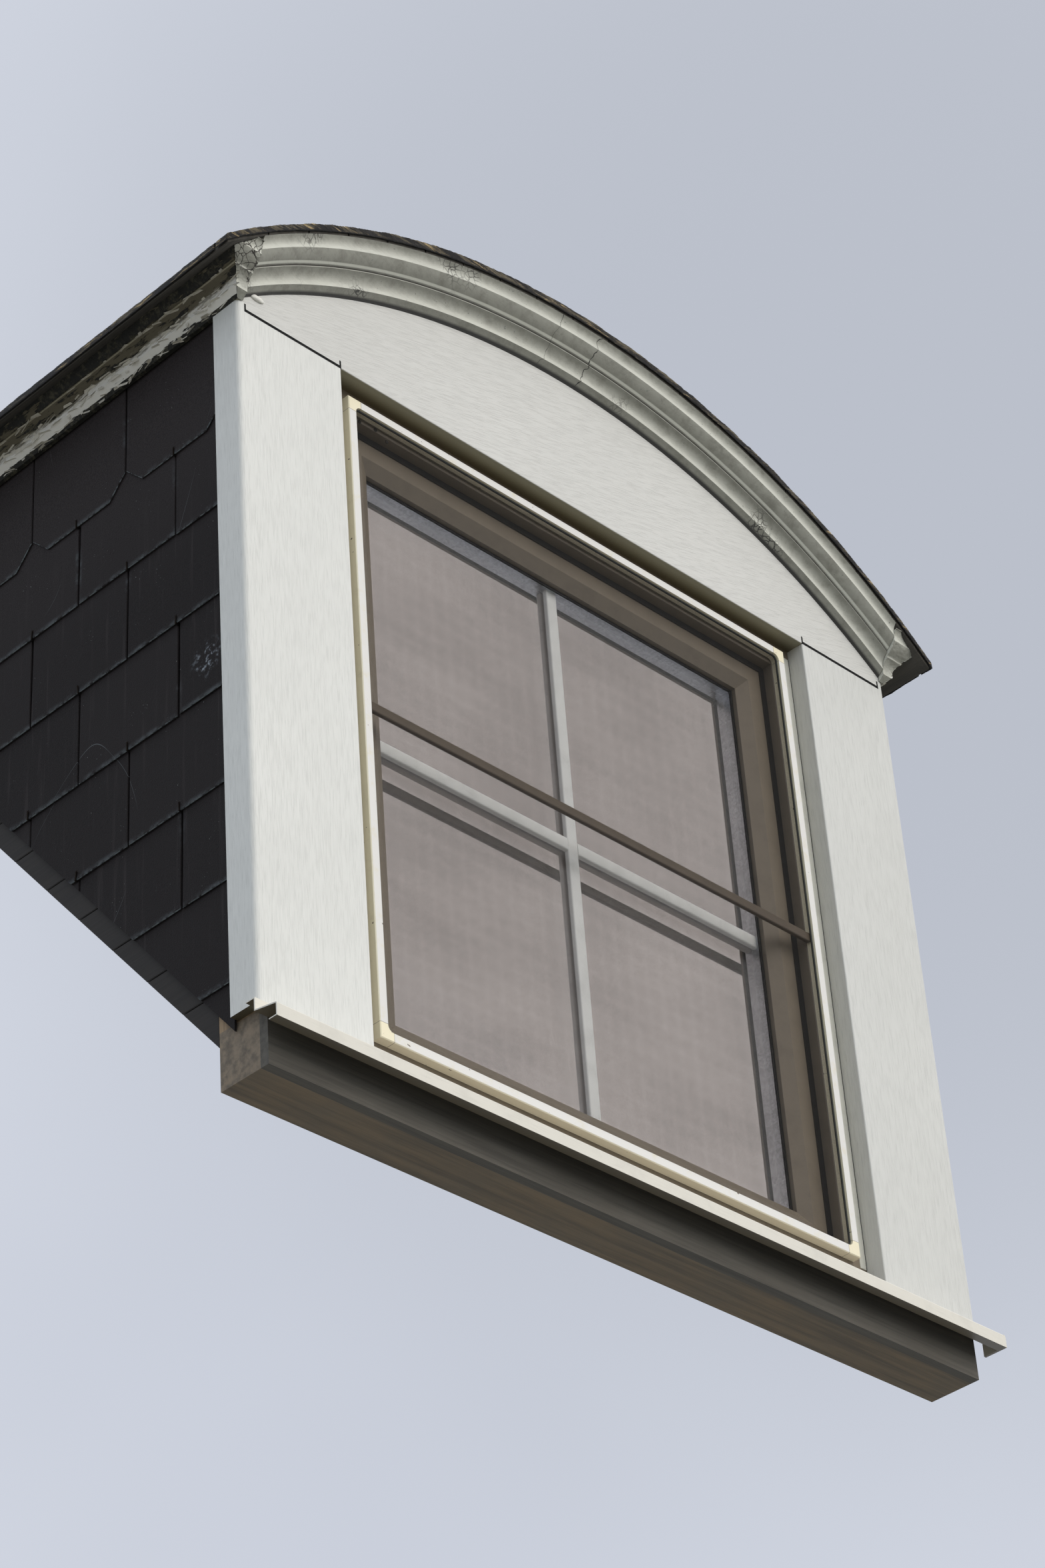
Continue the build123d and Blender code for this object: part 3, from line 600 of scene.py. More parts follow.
def rod(radius, length, place, turn, sides):
    """Cylinder with its middle at a place, turned from upright, with its turn and place applied."""
    deselect_all()
    bpy.ops.mesh.primitive_cylinder_add(
        vertices=sides, radius=radius, depth=length, location=place, rotation=turn
    )
    bpy.ops.object.transform_apply()
    return bpy.context.object


def mark(obj, kind, test):
    """Select the edges or faces of obj that pass a test, and open it for editing."""
    take(obj)
    mesh = obj.data
    bpy.context.tool_settings.mesh_select_mode = (False, kind == "EDGE", kind == "FACE")
    for group in (mesh.vertices, mesh.edges, mesh.polygons):
        group.foreach_set("select", [False] * len(group))
    for item in mesh.edges if kind == "EDGE" else mesh.polygons:
        corners = [mesh.vertices[i].co for i in item.vertices]
        item.select = test(*corners) if kind == "EDGE" else test(item)
    bpy.ops.object.mode_set(mode="EDIT")


def bevel_edges(obj, test, width, segments=1):
    """Bevel the edges of obj that pass a test."""
    mark(obj, "EDGE", test)
    bpy.ops.mesh.bevel(offset=width, offset_type="OFFSET", segments=segments, affect="EDGES")
    bpy.ops.object.mode_set(mode="OBJECT")


def extrude_faces(obj, test, move):
    """Pull the faces of obj that pass a test out along a move."""
    mark(obj, "FACE", test)
    bpy.ops.mesh.extrude_region_move(TRANSFORM_OT_translate={"value": move})
    bpy.ops.object.mode_set(mode="OBJECT")


def cut_off(obj, point, normal):
    """Cut obj by a plane, drop the side that the normal points to, and close the cut. The answer
    says whether anything is left."""
    normal = Vector(normal).normalized()
    reach = [(v.co - Vector(point)).dot(normal) for v in obj.data.vertices]
    if max(reach) <= 1e-6:
        return True
    if min(reach) >= -1e-6:
        return False
    edit_whole(obj, bpy.ops.mesh.bisect, plane_co=point, plane_no=normal, use_fill=True, clear_outer=True)
    return True


def copied(obj, matrix, name):
    """Copy of obj with its own mesh, moved by a matrix."""
    made = obj.copy()
    made.data = obj.data.copy()
    made.name = name
    made.data.transform(matrix)
    bpy.context.collection.objects.link(made)
    return made


def to_side(obj, sign):
    """Mirror obj to the left where the sign is below zero."""
    if sign < 0:
        obj.data.transform(Matrix.Scale(-1, 4, (1, 0, 0)))
        obj.data.flip_normals()


def solid_copy(node_name, name):
    """Closed copy of a node of the frame."""
    made = bpy.data.objects.new(name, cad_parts[node_name].data.copy())
    bpy.context.collection.objects.link(made)
    edit_whole(made, bpy.ops.mesh.remove_doubles, threshold=0.000005)
    bpy.ops.mesh.customdata_custom_splitnormals_clear()
    return made


def joined(parts, name):
    """The parts as one object with a name."""
    deselect_all()
    for part in parts:
        part.select_set(True)
    bpy.context.view_layer.objects.active = parts[0]
    if len(parts) > 1:
        bpy.ops.object.join()
    made = bpy.context.object
    made.name = name
    made.data.name = name
    return made


def dress(obj, *finishes):
    """Give obj these materials and no others."""
    obj.data.materials.clear()
    for finish in finishes:
        obj.data.materials.append(finish)


def apply_modifier(obj, kind, **settings):
    """Add a modifier with its settings and apply it."""
    take(obj)
    modifier = obj.modifiers.new(kind.title(), kind)
    for name, value in settings.items():
        setattr(modifier, name, value)
    bpy.ops.object.modifier_apply(modifier=modifier.name)


def rounded(obj, width, segments=1, sharper=0.9):
    """Bevel the edges of obj that are sharper than an angle in radians."""
    apply_modifier(obj, "BEVEL", width=width, segments=segments, limit_method="ANGLE", angle_limit=sharper)


def worn_down(obj, size, depth):
    """Wear obj inwards by soft lumps of a size, down to a depth."""
    cloud = bpy.data.textures.new("lumps", "CLOUDS")
    cloud.noise_scale = size
    apply_modifier(obj, "DISPLACE", texture=cloud, texture_coords="LOCAL", strength=depth, mid_level=1.0)


def weathered(obj, voxel, lumps):
    """Rebuild obj's skin from cells and wear it inwards by soft lumps of (size, depth)."""
    apply_modifier(obj, "REMESH", mode="VOXEL", voxel_size=voxel, use_smooth_shade=True)
    for size, depth in lumps:
        worn_down(obj, size, depth)


def settle(obj, slot, *replaced, finish=None):
    """The piece rides on the dormer, stands for CAD nodes, and takes a finish where it has none
    yet. Its slot is not used."""
    if finish:
        dress(obj, finish)
    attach(obj, "root")
    if replaced:
        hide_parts(*replaced)


def rafter_height(y):
    """Height of the main roof's rafters at a distance behind the front."""
    return RAFTER_RISE + ROOF_SLOPE * y


def roof_cut(obj, lift):
    """Cut obj along the main roof, lifted straight up."""
    return cut_off(obj, (0, 0, rafter_height(0) + lift), (0, ROOF_SLOPE, -1))


def seen_rays(tree):
    """Mask of the rays that show the stage: straight to the camera, mirrored, or through glass."""
    path = node(tree, "LightPath").node.outputs
    return either(tree, path["Is Camera Ray"], path["Is Glossy Ray"], path["Is Transmission Ray"])


class DORMER_OT_stage(bpy.types.Operator):
    """Make the floor, the pale background, the lights and the camera"""
    bl_idname = "dormer.stage"
    bl_label = "Stage"

    def execute(self, context):
        colours = context.scene.dormer_colours
        deselect_all()
        bpy.ops.mesh.primitive_plane_add(size=900.0, location=(0, 0, -6.6))
        floor = context.object
        floor.name = "floor"
        bpy.ops.object.transform_apply()
        paving, tree, coords = new_finish("pale_floor", 0.9)
        dull = patches(tree, coords, 0.5, 0.3, 0.8)
        tone = layered(tree, linear("#74726A"), (dull, linear("#6A6860")), (seen_rays(tree), colours.floor))
        dress(floor, finished(paving, tone))

        world = bpy.data.worlds.new("overcast")
        context.scene.world = world
        world.use_nodes = True
        tree = world.node_tree
        tree.nodes.clear()
        around = node(tree, "TexCoord", output="Generated")
        front = zone(tree, around, 1, 0.2, -0.3)
        backdrop = layered(
            tree, colours.sky,
            (patches(tree, around, 3.2, 0.30, 0.72, 3.0, 0.5), linear("#C9CEDA")),
            (towards(tree, around, (0.639, 0.448, 0.626), 0.955, 1.0), linear("#BBC0CB")),
            (front, linear("#EDE9E7")),
            (both(tree, front, patches(tree, around, 6.0, 0.38, 0.72, 4.0, 0.5)), linear("#D8D4D2")),
        )
        dome = layered(
            tree, linear("#3F3E36"), (zone(tree, around, 2, -0.05, 0.10), linear("#DDE7F5")),
            (zone(tree, around, 2, 0.15, 1.0), linear("#F2F8FF")),
        )
        lighting = node(tree, "Background", {"Color": dome, "Strength": 1.12})
        picture = node(tree, "Background", {"Color": backdrop, "Strength": 1.0})
        shown = node(tree, "MixShader", {0: seen_rays(tree), 1: lighting, 2: picture})
        node(tree, "OutputWorld", {"Surface": shown})

        bpy.ops.object.light_add(type="SUN", location=(2, -6, 6))
        lamp = context.object
        lamp.name = "soft_key"
        lamp.data.energy = 1.98
        lamp.data.color = (1.0, 0.94, 0.86)
        lamp.data.angle = math.radians(50)
        lamp.visible_glossy = False
        lamp.rotation_euler = Vector((0.24, -0.80, 0.55)).to_track_quat("Z", "Y").to_euler()

        bpy.ops.object.camera_add(
            location=(-4.292, -3.772, -3.117),
            rotation=[math.radians(a) for a in (125.475, 3.664, -45.028)],
        )
        camera = context.object
        camera.data.lens = 91.11
        camera.data.sensor_width = 36.0
        context.scene.camera = camera
        context.scene.view_settings.view_transform = "Standard"
        return {"FINISHED"}


def pair(stem):
    """Names of a node on both sides."""
    return [f"{stem}_{side}" for side, _ in SIDES]


class DORMER_OT_finishes(bpy.types.Operator):
    """Give every piece of the frame its finish"""
    bl_idname = "dormer.finishes"
    bl_label = "Finishes"

    def execute(self, context):
        sizes = context.scene.dormer_sizes
        colours = context.scene.dormer_colours
        paint, algae_and_shade, cream = colours.old_paint, colours.algae_and_shade, colours.screen_cream
        upright, lying = (660.0, 660.0, 25.0), (25.0, 660.0, 660.0)
        corner_seams = ((0, -0.5425), (0, 0.5425), (2, 0.1915), (2, 1.456))
        table = (
            (foiled_plastic("foil_left", colours.foil, upright), "casing_left"),
            # The right casing's foil is a darker copy of the left one: painted shade, as less light reaches
            # that side.
            (foiled_plastic("foil_right_painted_shade", shade(colours.foil, 0.88), upright), "casing_right"),
            # The tympanum takes the darker foil: painted shade under the cornice.
            (foiled_plastic("foil_lying_painted_shade", colours.tympanum, lying, math.radians(14)), "tympanum"),
            (brushed_gloss("brushed_gloss", paint, algae_and_shade, linear("#24211A")), "cornice_front"),
            (flaking_paint("flaking_paint", linear("#F7F4EC"), algae_and_shade, colours.mould), *pair("cornice")),
            (crackled_paint("crackled_paint", paint, algae_and_shade, linear("#2A251C")), *pair("cornice_block")),
            (satin_plastic("window_plastic", colours.frame_plastic, 0.38), "window_frame", "window_sash"),
            (satin_plastic("black_rubber", linear("#0E0E0E"), 0.5),
             "frame_gasket", "glazing_gasket", "screen_spline"),
            (satin_plastic("joint_sealant", linear("#060606"), 0.7), "joint_strips"),
            (yellowed_coat("screen_coat", colours.screen_white, cream), "screen_bars"),
            (yellowed_coat("yellowed_corner", shade(cream, 0.95), cream, corner_seams), "screen_corners"),
            (satin_plastic("screen_mid_coat", linear("#574A3B"), 0.4), "screen_mid_bar"),
            (powder_coat("sill_powder_coat", colours.sill), "window_sill", "sill_end_cap"),
            (sawn_timber("weathered_board", linear("#4A4339"), (2.5, 70.0, 70.0), 0.6), "apron_board"),
            (sawn_timber("cross_timber", colours.timber, (2.5, 60.0, 60.0), 0.75),
             "sill_plate", "head_beam", "roof_formers", "valley_board"),
            (sawn_timber("upright_timber", colours.timber, (60.0, 60.0, 2.5), 0.3),
             "jamb_posts", *pair("corner_post"), *pair("cheek_studs")),
            (sawn_timber("rafter_timber", colours.timber, (60.0, 4.0, 4.0), 0.4),
             *pair("cheek_rail"), *pair("wall_plate")),
            (painted_board("painted_lining", linear("#D5D2CA")), "ceiling_lining", *pair("cheek_lining")),
            (drawn_metal("spacer_aluminium", linear("#DCE0E7"), 0.35), "glazing_spacer"),
            (coated_glass("coated_float_glass", linear("#D6C9C2"), 0.3, 0.05), "glass_panes"),
            (sawn_timber("boards", linear("#3A342C"), (70.0, 3.0, 70.0), 0.4),
             "roof_deck", *pair("cheek_boards")),
            (weathered_bitumen("bitumen_felt", colours.bitumen), "roof_covering"),
            (fibre_cement("fibre_cement", colours.slate, sizes.slate_width), *pair("cheek_slates")),
        )
        for finish, *names in table:
            for name in names:
                dress(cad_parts[name], finish)
        return {"FINISHED"}


def slate_lean(sizes):
    """How far the lower edge of a slate stands off its board, because it lies on the one below."""
    return sizes.slate_thick * 1.4


def slate_bed(side, sizes):
    """Corners of the box of a cheek's slates, and how far out their backs lie at the lower edge."""
    low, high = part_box(f"cheek_slates_{side}")
    return low, high, min(abs(low.x), abs(high.x)) + slate_lean(sizes)


def slate_courses(sizes, back, foot):
    """Courses of a cheek from the top down to a foot: the number of each, its lower edge, and the
    middles of its slates from the front to the back. Every other course starts with a part slate."""
    pitch = sizes.slate_width + sizes.slate_gap
    row, bottom = 0, sizes.top_course_low
    while bottom > foot:
        left = FIRST_SLATE[row % 2]
        middles = []
        while left < back:
            middles.append(left + pitch / 2)
            left += pitch
        yield row, bottom, middles
        bottom -= sizes.top_course if row == 0 else sizes.course
        row += 1


def map_slate(slate, sizes):
    """Map the face of a slate by the place on it, in metres from its lower corner, and give its
    lower bevel the second material."""
    face_map = slate.data.uv_layers.active.data
    for polygon in slate.data.polygons:
        shown = polygon.normal.x > 0.1
        polygon.material_index = 1 if shown and polygon.normal.z < -0.1 else 0
        for i in polygon.loop_indices:
            corner = slate.data.vertices[slate.data.loops[i].vertex_index].co
            across = corner.y + sizes.slate_width / 2 if shown else sizes.slate_width / 2
            face_map[i].uv = (across, corner.z if shown else sizes.course)


class DORMER_OT_slates(bpy.types.Operator):
    """Hang the slates of both cheeks, course by course"""
    bl_idname = "dormer.slates"
    bl_label = "Slates"

    def execute(self, context):
        sizes = context.scene.dormer_sizes
        colours = context.scene.dormer_colours
        face = fibre_cement("slate_face", colours.slate, sizes.slate_width)
        edge = fibre_cement("slate_edge", colours.slate, sizes.slate_width, colours.slate_edge)
        draw = random.Random(5)
        for side, sign in SIDES:
            low, high, out = slate_bed(side, sizes)
            hung = []
            for row, bottom, middles in slate_courses(sizes, high.y, low.z - sizes.course):
                tall = (high.z - bottom + 0.004) if row == 0 else sizes.course + sizes.slate_lap
                slate = block((sizes.slate_thick, sizes.slate_width, tall), (0, 0, tall / 2), "slate")
                if row == 0:
                    bevel_edges(
                        slate, lambda a, b: max(a.z, b.z) < 0.001 and abs(a.y - b.y) < 1e-5, sizes.dog_ear
                    )
                bevel_edges(slate, lambda a, b: min(a.x, b.x) > 0 and min(a.z, b.z) < tall - 0.001, 0.0012)
                dress(slate, face, edge)
                map_slate(slate, sizes)
                for middle in middles:
                    lean = -math.atan(slate_lean(sizes) / tall)
                    tilt = Matrix.Rotation(lean + draw.uniform(-0.001, 0.001), 4, "Y")
                    swing = Matrix.Rotation(math.radians(draw.uniform(-0.25, 0.25)), 4, "X")
                    place = Matrix.Translation((
                        out + sizes.slate_thick / 2, middle + draw.uniform(-0.0006, 0.0006),
                        bottom + draw.uniform(-0.0012, 0.0012),
                    ))
                    made = copied(slate, place @ tilt @ swing, "slate_copy")
                    tone = made.data.attributes.new("tone", "FLOAT", "FACE")
                    tone.data.foreach_set("value", [draw.random()] * len(made.data.polygons))
                    to_side(made, sign)
                    kept = cut_off(made, (0, low.y, 0), (0, -1, 0))
                    kept = kept and cut_off(made, (0, 0, high.z), (0, 0, 1))
                    if kept and roof_cut(made, SLATE_LIFT):
                        hung.append(made)
                    else:
                        bpy.data.objects.remove(made)
                bpy.data.objects.remove(slate)
            settle(joined(hung, f"slates_{side}"), "slate", f"cheek_slates_{side}")
        return {"FINISHED"}


class DORMER_OT_slate_hooks(bpy.types.Operator):
    """Bend one slate hook and set it under the middle of every slate"""
    bl_idname = "dormer.slate_hooks"
    bl_label = "Slate hooks"

    def execute(self, context):
        sizes = context.scene.dormer_sizes
        wire = sizes.hook_wire
        hook = block([wire] * 3, (0, 0, 0), "hook")
        for test, move in (
            (lambda p: p.normal.z > 0.9, (0, 0, sizes.hook_nose)),
            (lambda p: p.normal.x < -0.9 and p.center.z < wire, (-sizes.slate_thick - wire, 0, 0)),
            (lambda p: p.normal.z > 0.9 and p.center.x < -wire, (0, 0, 1.2 * sizes.hook_nose)),
        ):
            extrude_faces(hook, test, move)
        rounded(hook, wire * 0.32)
        dress(hook, drawn_metal("oxidised_steel", linear("#2A2623"), 0.6))
        draw = random.Random(11)
        for side, sign in SIDES:
            low, high, out = slate_bed(side, sizes)
            hung = []
            for _, bottom, middles in slate_courses(sizes, high.y, low.z):
                for middle in middles:
                    y = middle + draw.uniform(-0.004, 0.004)
                    z = bottom - wire / 2
                    if low.y + wire < y and z > rafter_height(y) + HOOK_LIFT:
                        swing = Matrix.Rotation(math.radians(draw.uniform(-8, 8)), 4, "X")
                        place = Matrix.Translation((out + sizes.slate_thick + wire / 2, y, z))
                        made = copied(hook, place @ swing, "hook_copy")
                        to_side(made, sign)
                        hung.append(made)
            settle(joined(hung, f"slate_hooks_{side}"), "slate")
        bpy.data.objects.remove(hook)
        return {"FINISHED"}


class DORMER_OT_roof_covering(bpy.types.Operator):
    """Wear the turned-down rim of the felt and keep its field smooth"""
    bl_idname = "dormer.roof_covering"
    bl_label = "Roof covering"

    def execute(self, context):
        low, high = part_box("roof_covering")
        front, back = Vector((0, low.y + FELT_RIM, 0)), Vector((0, 1, 0))
        flank, right = Vector((high.x - FELT_RIM, 0, 0)), Vector((1, 0, 0))
        parts = []
        for cuts in (
            [(front, back)],
            [(front, -back), (flank, -right)],
            [(front, -back), (-flank, right)],
            [(front, -back), (flank, right), (-flank, -right)],
        ):
            part = solid_copy("roof_covering", "felt_part")
            for point, normal in cuts:
                cut_off(part, point, normal)
            parts.append(part)
        *rims, field = parts
        for rim in rims:
            weathered(rim, 0.0034, ((0.045, 0.0032), (0.011, 0.0014)))
        take(field)
        bpy.ops.object.shade_smooth_by_angle(angle=math.radians(25))
        felt = weathered_bitumen("bitumen_felt_worn", context.scene.dormer_colours.bitumen)
        settle(joined(parts, "worn_felt"), "bitumen", "roof_covering", finish=felt)
        return {"FINISHED"}


class DORMER_OT_boards(bpy.types.Operator):
    """Split the roof deck and the boarding of the cheeks into boards"""
    bl_idname = "dormer.boards"
    bl_label = "Boards"

    def execute(self, context):
        sizes = context.scene.dormer_sizes
        grain = (70.0, 3.0, 70.0)
        stained = sawn_timber("stained_board", linear("#37322A"), grain, 0.3)
        tarred = sawn_timber("tarred_board", linear("#1E1A16"), grain)
        for name, axis, finish in (
            ("roof_deck", 0, stained), ("cheek_boards_left", 2, tarred), ("cheek_boards_right", 2, tarred)
        ):
            low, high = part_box(name)
            count = max(1, round((high[axis] - low[axis]) / sizes.board_width))
            step = (high[axis] - low[axis]) / count
            along = Vector([float(i == axis) for i in range(3)])
            boards = []
            for i in range(count):
                board = solid_copy(name, "board")
                if i > 0:
                    cut_off(board, along * (low[axis] + i * step + sizes.board_gap / 2), -along)
                if i < count - 1:
                    cut_off(board, along * (low[axis] + (i + 1) * step - sizes.board_gap / 2), along)
                rounded(board, 0.0012)
                boards.append(board)
            settle(joined(boards, f"{name}_boards"), "roof_board", name, finish=finish)
        return {"FINISHED"}


class DORMER_OT_corner_blocks(bpy.types.Operator):
    """Round and wear the thickly painted corner blocks of the cornice"""
    bl_idname = "dormer.corner_blocks"
    bl_label = "Corner blocks"

    def execute(self, context):
        for side, _ in SIDES:
            worn = solid_copy(f"cornice_block_{side}", f"worn_block_{side}")
            weathered(worn, 0.0016, ((0.018, 0.0014), (0.005, 0.0009)))
            paint = bpy.data.materials["crackled_paint"]
            settle(worn, "white_paint", f"cornice_block_{side}", finish=paint)
        return {"FINISHED"}


class DORMER_OT_paint_flakes(bpy.types.Operator):
    """Curl one flake of paint and scatter it along the mouldings of the cheeks"""
    bl_idname = "dormer.paint_flakes"
    bl_label = "Paint flakes"

    def execute(self, context):
        deselect_all()
        bpy.ops.mesh.primitive_grid_add(x_subdivisions=3, y_subdivisions=2, size=1.0)
        flake = context.object
        for vertex in flake.data.vertices:
            across = vertex.co.x + 0.5
            vertex.co.z = 0.9 * across * across
            vertex.co.y *= 1.0 - 0.35 * across
        apply_modifier(flake, "SOLIDIFY", thickness=0.05, offset=1.0)
        dress(flake, satin_plastic("curled_paint", linear("#D6D1C4"), 0.5, 0.55))
        draw = random.Random(23)
        tangent = Vector((0, 1, 0))
        for side, sign in SIDES:
            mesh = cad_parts[f"cornice_{side}"].data
            faces = [list(p.vertices) for p in mesh.polygons]
            skin = BVHTree.FromPolygons([v.co for v in mesh.vertices], faces)
            low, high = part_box(f"cornice_{side}")
            made = []
            for _ in range(context.scene.dormer_sizes.flakes):
                y = draw.uniform(low.y + 0.01, high.y - 0.02)
                z = CORNICE_FOOT + draw.choice(FLAKE_LINES) + draw.uniform(-0.002, 0.002)
                spot, normal, *_ = skin.ray_cast(Vector((sign * 1.2, y, z)), Vector((-sign, 0, 0)))
                if spot is None or z < rafter_height(y) + FLAKE_LIFT:
                    continue
                if normal.x * sign < 0:
                    normal = -normal
                rise = normal.cross(tangent).normalized()
                if rise.z < 0:
                    rise = -rise
                turned = Matrix((rise * draw.choice((-1, 1, 1)), tangent, normal)).transposed().to_4x4()
                wide = draw.uniform(0.002, 0.006)
                size = Matrix.Diagonal((wide, draw.uniform(0.008, 0.040), wide * draw.uniform(0.3, 0.8), 1))
                swing = Matrix.Rotation(draw.uniform(-0.3, 0.3), 4, "Z")
                place = Matrix.Translation(spot - normal * 0.0004)
                made.append(copied(flake, place @ turned @ swing @ size, "flake_copy"))
            whole = joined(made, f"paint_flakes_{side}")
            edit_whole(whole, bpy.ops.mesh.normals_make_consistent, inside=False)
            settle(whole, "white_paint")
        bpy.data.objects.remove(flake)
        return {"FINISHED"}


class DORMER_OT_insect_screen(bpy.types.Operator):
    """Stretch the wires of the insect mesh, and round the cord that holds them and the middle bar"""
    bl_idname = "dormer.insect_screen"
    bl_label = "Insect screen"

    def execute(self, context):
        sizes = context.scene.dormer_sizes
        low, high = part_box("screen_mesh")
        size = high - low
        wires = []
        for across, along, turn in ((0, 2, (0, 0, 0)), (2, 0, (0, math.pi / 2, 0))):
            place = (low + high) / 2
            place[across] = low[across] + sizes.mesh_pitch / 2
            wire = rod(sizes.mesh_wire / 2, size[along], place, turn, 6)
            step = [0.0, 0.0, 0.0]
            step[across] = sizes.mesh_pitch
            apply_modifier(
                wire, "ARRAY", count=int(size[across] / sizes.mesh_pitch),
                use_relative_offset=False, use_constant_offset=True, constant_offset_displace=step,
            )
            wires.append(wire)
        coat = satin_plastic("coated_wire", linear("#3E3C3A"), 0.5)
        settle(joined(wires, "insect_mesh"), "screen_mesh", "screen_mesh", finish=coat)
        cord = solid_copy("screen_spline", "spline_cord")
        rounded(cord, 0.0013, 3)
        rubber = satin_plastic("spline_rubber", linear("#2B2F2E"), 0.28)
        settle(cord, "gasket", "screen_spline", finish=rubber)
        bar = solid_copy("screen_mid_bar", "rounded_mid_bar")
        low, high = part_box("screen_mid_bar")
        rounded(bar, 0.3 * min(high.y - low.y, high.z - low.z), 3)
        settle(bar, "screen_white", "screen_mid_bar", finish=bpy.data.materials["screen_mid_coat"])
        return {"FINISHED"}


class DORMER_OT_glazing(bpy.types.Operator):
    """Part the two panes, and put the cross of flat bars between them"""
    bl_idname = "dormer.glazing"
    bl_label = "Glazing"

    def execute(self, context):
        width = context.scene.dormer_sizes.glazing_bar
        low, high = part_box("glazing_spacer")
        middle = (low + high) / 2
        clear = coated_glass("clear_float_glass", linear("#E8EAEA"), 0.06, 0.02)
        bronze = coated_glass("bronze_coated_glass", linear("#E8E0DD"), 0.82, 0.02)
        # The far face of the inner pane takes a dark backing: painted shade for the dim room behind.
        backing_shade = painted_shade_backing("painted_shade_glass_backing", linear("#2C2A29"), 0.9)
        for name, away, finishes in (("outer_pane", 1, (clear,)), ("inner_pane", -1, (bronze, backing_shade))):
            pane = solid_copy("glass_panes", name)
            cut_off(pane, (0, middle.y, 0), (0, away, 0))
            dress(pane, *finishes)
            for polygon in pane.data.polygons:
                polygon.material_index = len(finishes) - 1 if polygon.normal.y > 0.9 else 0
            settle(pane, "glass", "glass_panes")
        deep, inset = 0.010, 0.013
        tall = high.z - low.z - 2 * inset
        wide = (high.x - low.x - 2 * inset - width) / 2
        bars = [block((width, deep, tall), middle, "upright_bar")]
        for sign in (-1, 1):
            place = middle + Vector((sign * (wide + width) / 2, 0, 0))
            bars.append(block((wide, deep, width), place, "level_bar"))
        for bar, along in zip(bars, (2, 0, 0)):
            bevel_edges(bar, lambda a, b: abs(a[along] - b[along]) > 0.05, 0.0025, 2)
        enamel = satin_plastic("bar_enamel", linear("#EAE9E5"), 0.35)
        settle(joined(bars, "glazing_bars"), "spacer", finish=enamel)
        return {"FINISHED"}


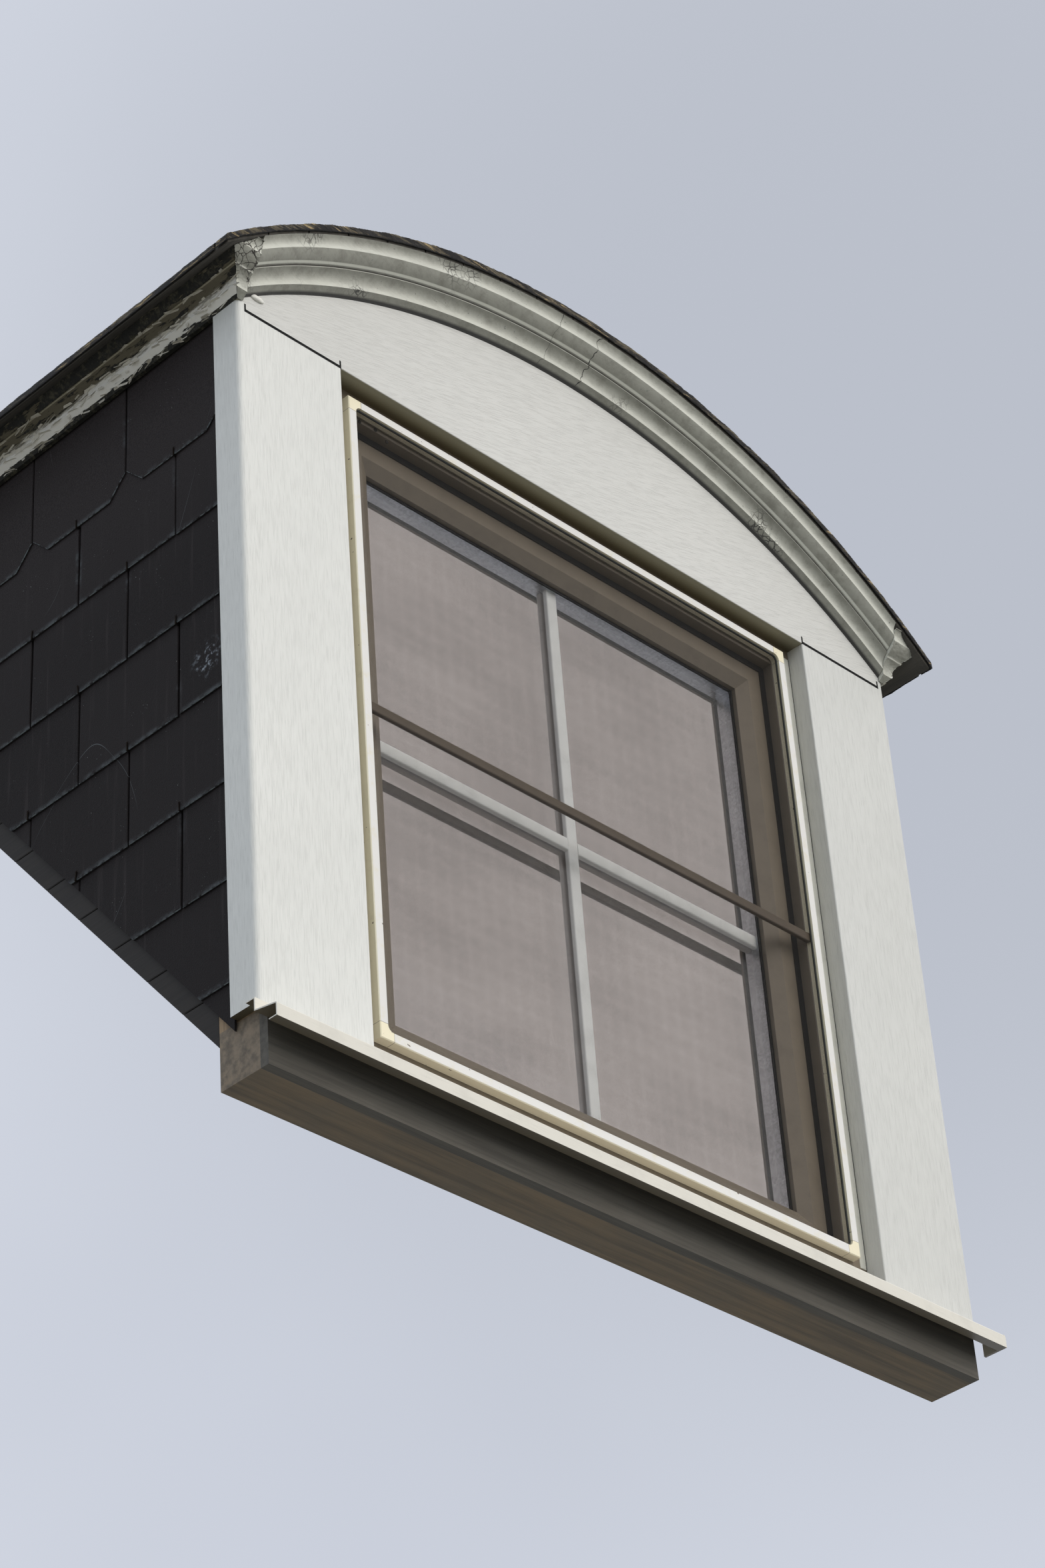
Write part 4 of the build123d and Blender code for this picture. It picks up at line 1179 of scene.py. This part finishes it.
class DORMER_OT_trims(bpy.types.Operator):
    """Add the light cover strips beside the screen, painted light on the frame face, the thin black
    strips beside them, painted shadow in the gap to the reveal, the joint seals, widened and brought
    forward as partly painted shadow, the screw caps and the filler
    """
    bl_idname = "dormer.trims"
    bl_label = "Trims"

    def execute(self, context):
        low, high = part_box("screen_bars")
        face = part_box("window_frame")[0].y
        middle = (low.z + high.z) / 2
        tall = high.z - low.z + 0.012
        strips, seams = (
            [block((wide, 2 * deep, tall), (x, face - deep, middle)) for x in (-away, away)]
            for away, wide, deep in ((STRIPS_AWAY, 0.016, 0.0007), (SHADOW_GAPS_AWAY, 0.002, 0.0004))
        )
        for strip in strips:
            bevel_edges(strip, lambda a, b: max(a.y, b.y) < face - 0.001, 0.0005)
        # Light strips over the frame face beside the screen: painted light on that face.
        plastic = satin_plastic("strip_painted_light", linear("#C9C8BE"), 0.45)
        settle(joined(strips, "cover_strips_painted_light"), "white_casing", finish=plastic)
        # Black strips in the gap between the cover strips and the reveal: painted shadow.
        sealant_and_shadow = satin_plastic("black_sealant_and_shadow", linear("#050505"), 0.9)
        settle(joined(seams, "frame_shadow_gaps"), "gasket", finish=sealant_and_shadow)
        # The black joint strips, widened and brought forward out of their recess: a real joint, partly
        # painted shadow of the open joint.
        seal_and_shadow = solid_copy("joint_strips", "joint_seal_and_shadow")
        apply_modifier(seal_and_shadow, "DISPLACE", strength=0.0007, mid_level=0.0)
        seal_and_shadow.data.transform(Matrix.Translation((0, -0.0031, 0)))
        settle(seal_and_shadow, "gasket", "joint_strips", finish=sealant_and_shadow)
        caps = []
        for x, z in SCREW_CAPS:
            cap = rod(0.004, 0.0016, (x, face - 0.0006, z), (math.pi / 2, 0, 0), 12)
            rounded(cap, 0.0006, 2, math.radians(30))
            caps.append(cap)
        steel = drawn_metal("dull_screw_steel", linear("#3C3833"), 0.45)
        settle(joined(caps, "screw_caps"), "frame_plastic", finish=steel)
        deselect_all()
        bpy.ops.mesh.primitive_ico_sphere_add(subdivisions=3, radius=0.011, location=FILLER)
        lump = context.object
        lump.name = "filler_lump"
        lump.scale = (1.5, 0.5, 0.7)
        bpy.ops.object.transform_apply()
        worn_down(lump, 0.008, 0.003)
        bpy.ops.object.shade_smooth()
        settle(lump, "white_paint", finish=satin_plastic("white_filler", linear("#E4E2DA"), 0.6))
        return {"FINISHED"}


class DORMER_PT_panel(bpy.types.Panel):
    """Steps that dress the dormer"""
    bl_label = "Dormer window"
    bl_idname = "DORMER_PT_panel"
    bl_space_type = "VIEW_3D"
    bl_region_type = "UI"
    bl_category = "Dormer"

    def draw(self, context):
        for step in STEPS:
            self.layout.operator(step.bl_idname)
        for group in (context.scene.dormer_sizes, context.scene.dormer_colours):
            for name in group.__annotations__:
                self.layout.prop(group, name)


STEPS = (
    DORMER_OT_finishes,
    DORMER_OT_slates,
    DORMER_OT_slate_hooks,
    DORMER_OT_boards,
    DORMER_OT_roof_covering,
    DORMER_OT_corner_blocks,
    DORMER_OT_paint_flakes,
    DORMER_OT_insect_screen,
    DORMER_OT_glazing,
    DORMER_OT_trims,
    DORMER_OT_stage,
)
CLASSES = (DormerSizes, DormerColours, *STEPS, DORMER_PT_panel)


def register():
    """Register the classes and attach the settings to the scene."""
    for each in CLASSES:
        bpy.utils.register_class(each)
    bpy.types.Scene.dormer_sizes = PointerProperty(type=DormerSizes)
    bpy.types.Scene.dormer_colours = PointerProperty(type=DormerColours)


def unregister():
    """Undo register."""
    del bpy.types.Scene.dormer_sizes
    del bpy.types.Scene.dormer_colours
    for each in reversed(CLASSES):
        bpy.utils.unregister_class(each)


def main():
    """Run every step in order."""
    register()
    bpy.ops.dormer.finishes()
    bpy.ops.dormer.slates()
    bpy.ops.dormer.slate_hooks()
    bpy.ops.dormer.boards()
    bpy.ops.dormer.roof_covering()
    bpy.ops.dormer.corner_blocks()
    bpy.ops.dormer.paint_flakes()
    bpy.ops.dormer.insect_screen()
    bpy.ops.dormer.glazing()
    bpy.ops.dormer.trims()
    bpy.ops.dormer.stage()


if __name__ == "__main__":
    main()
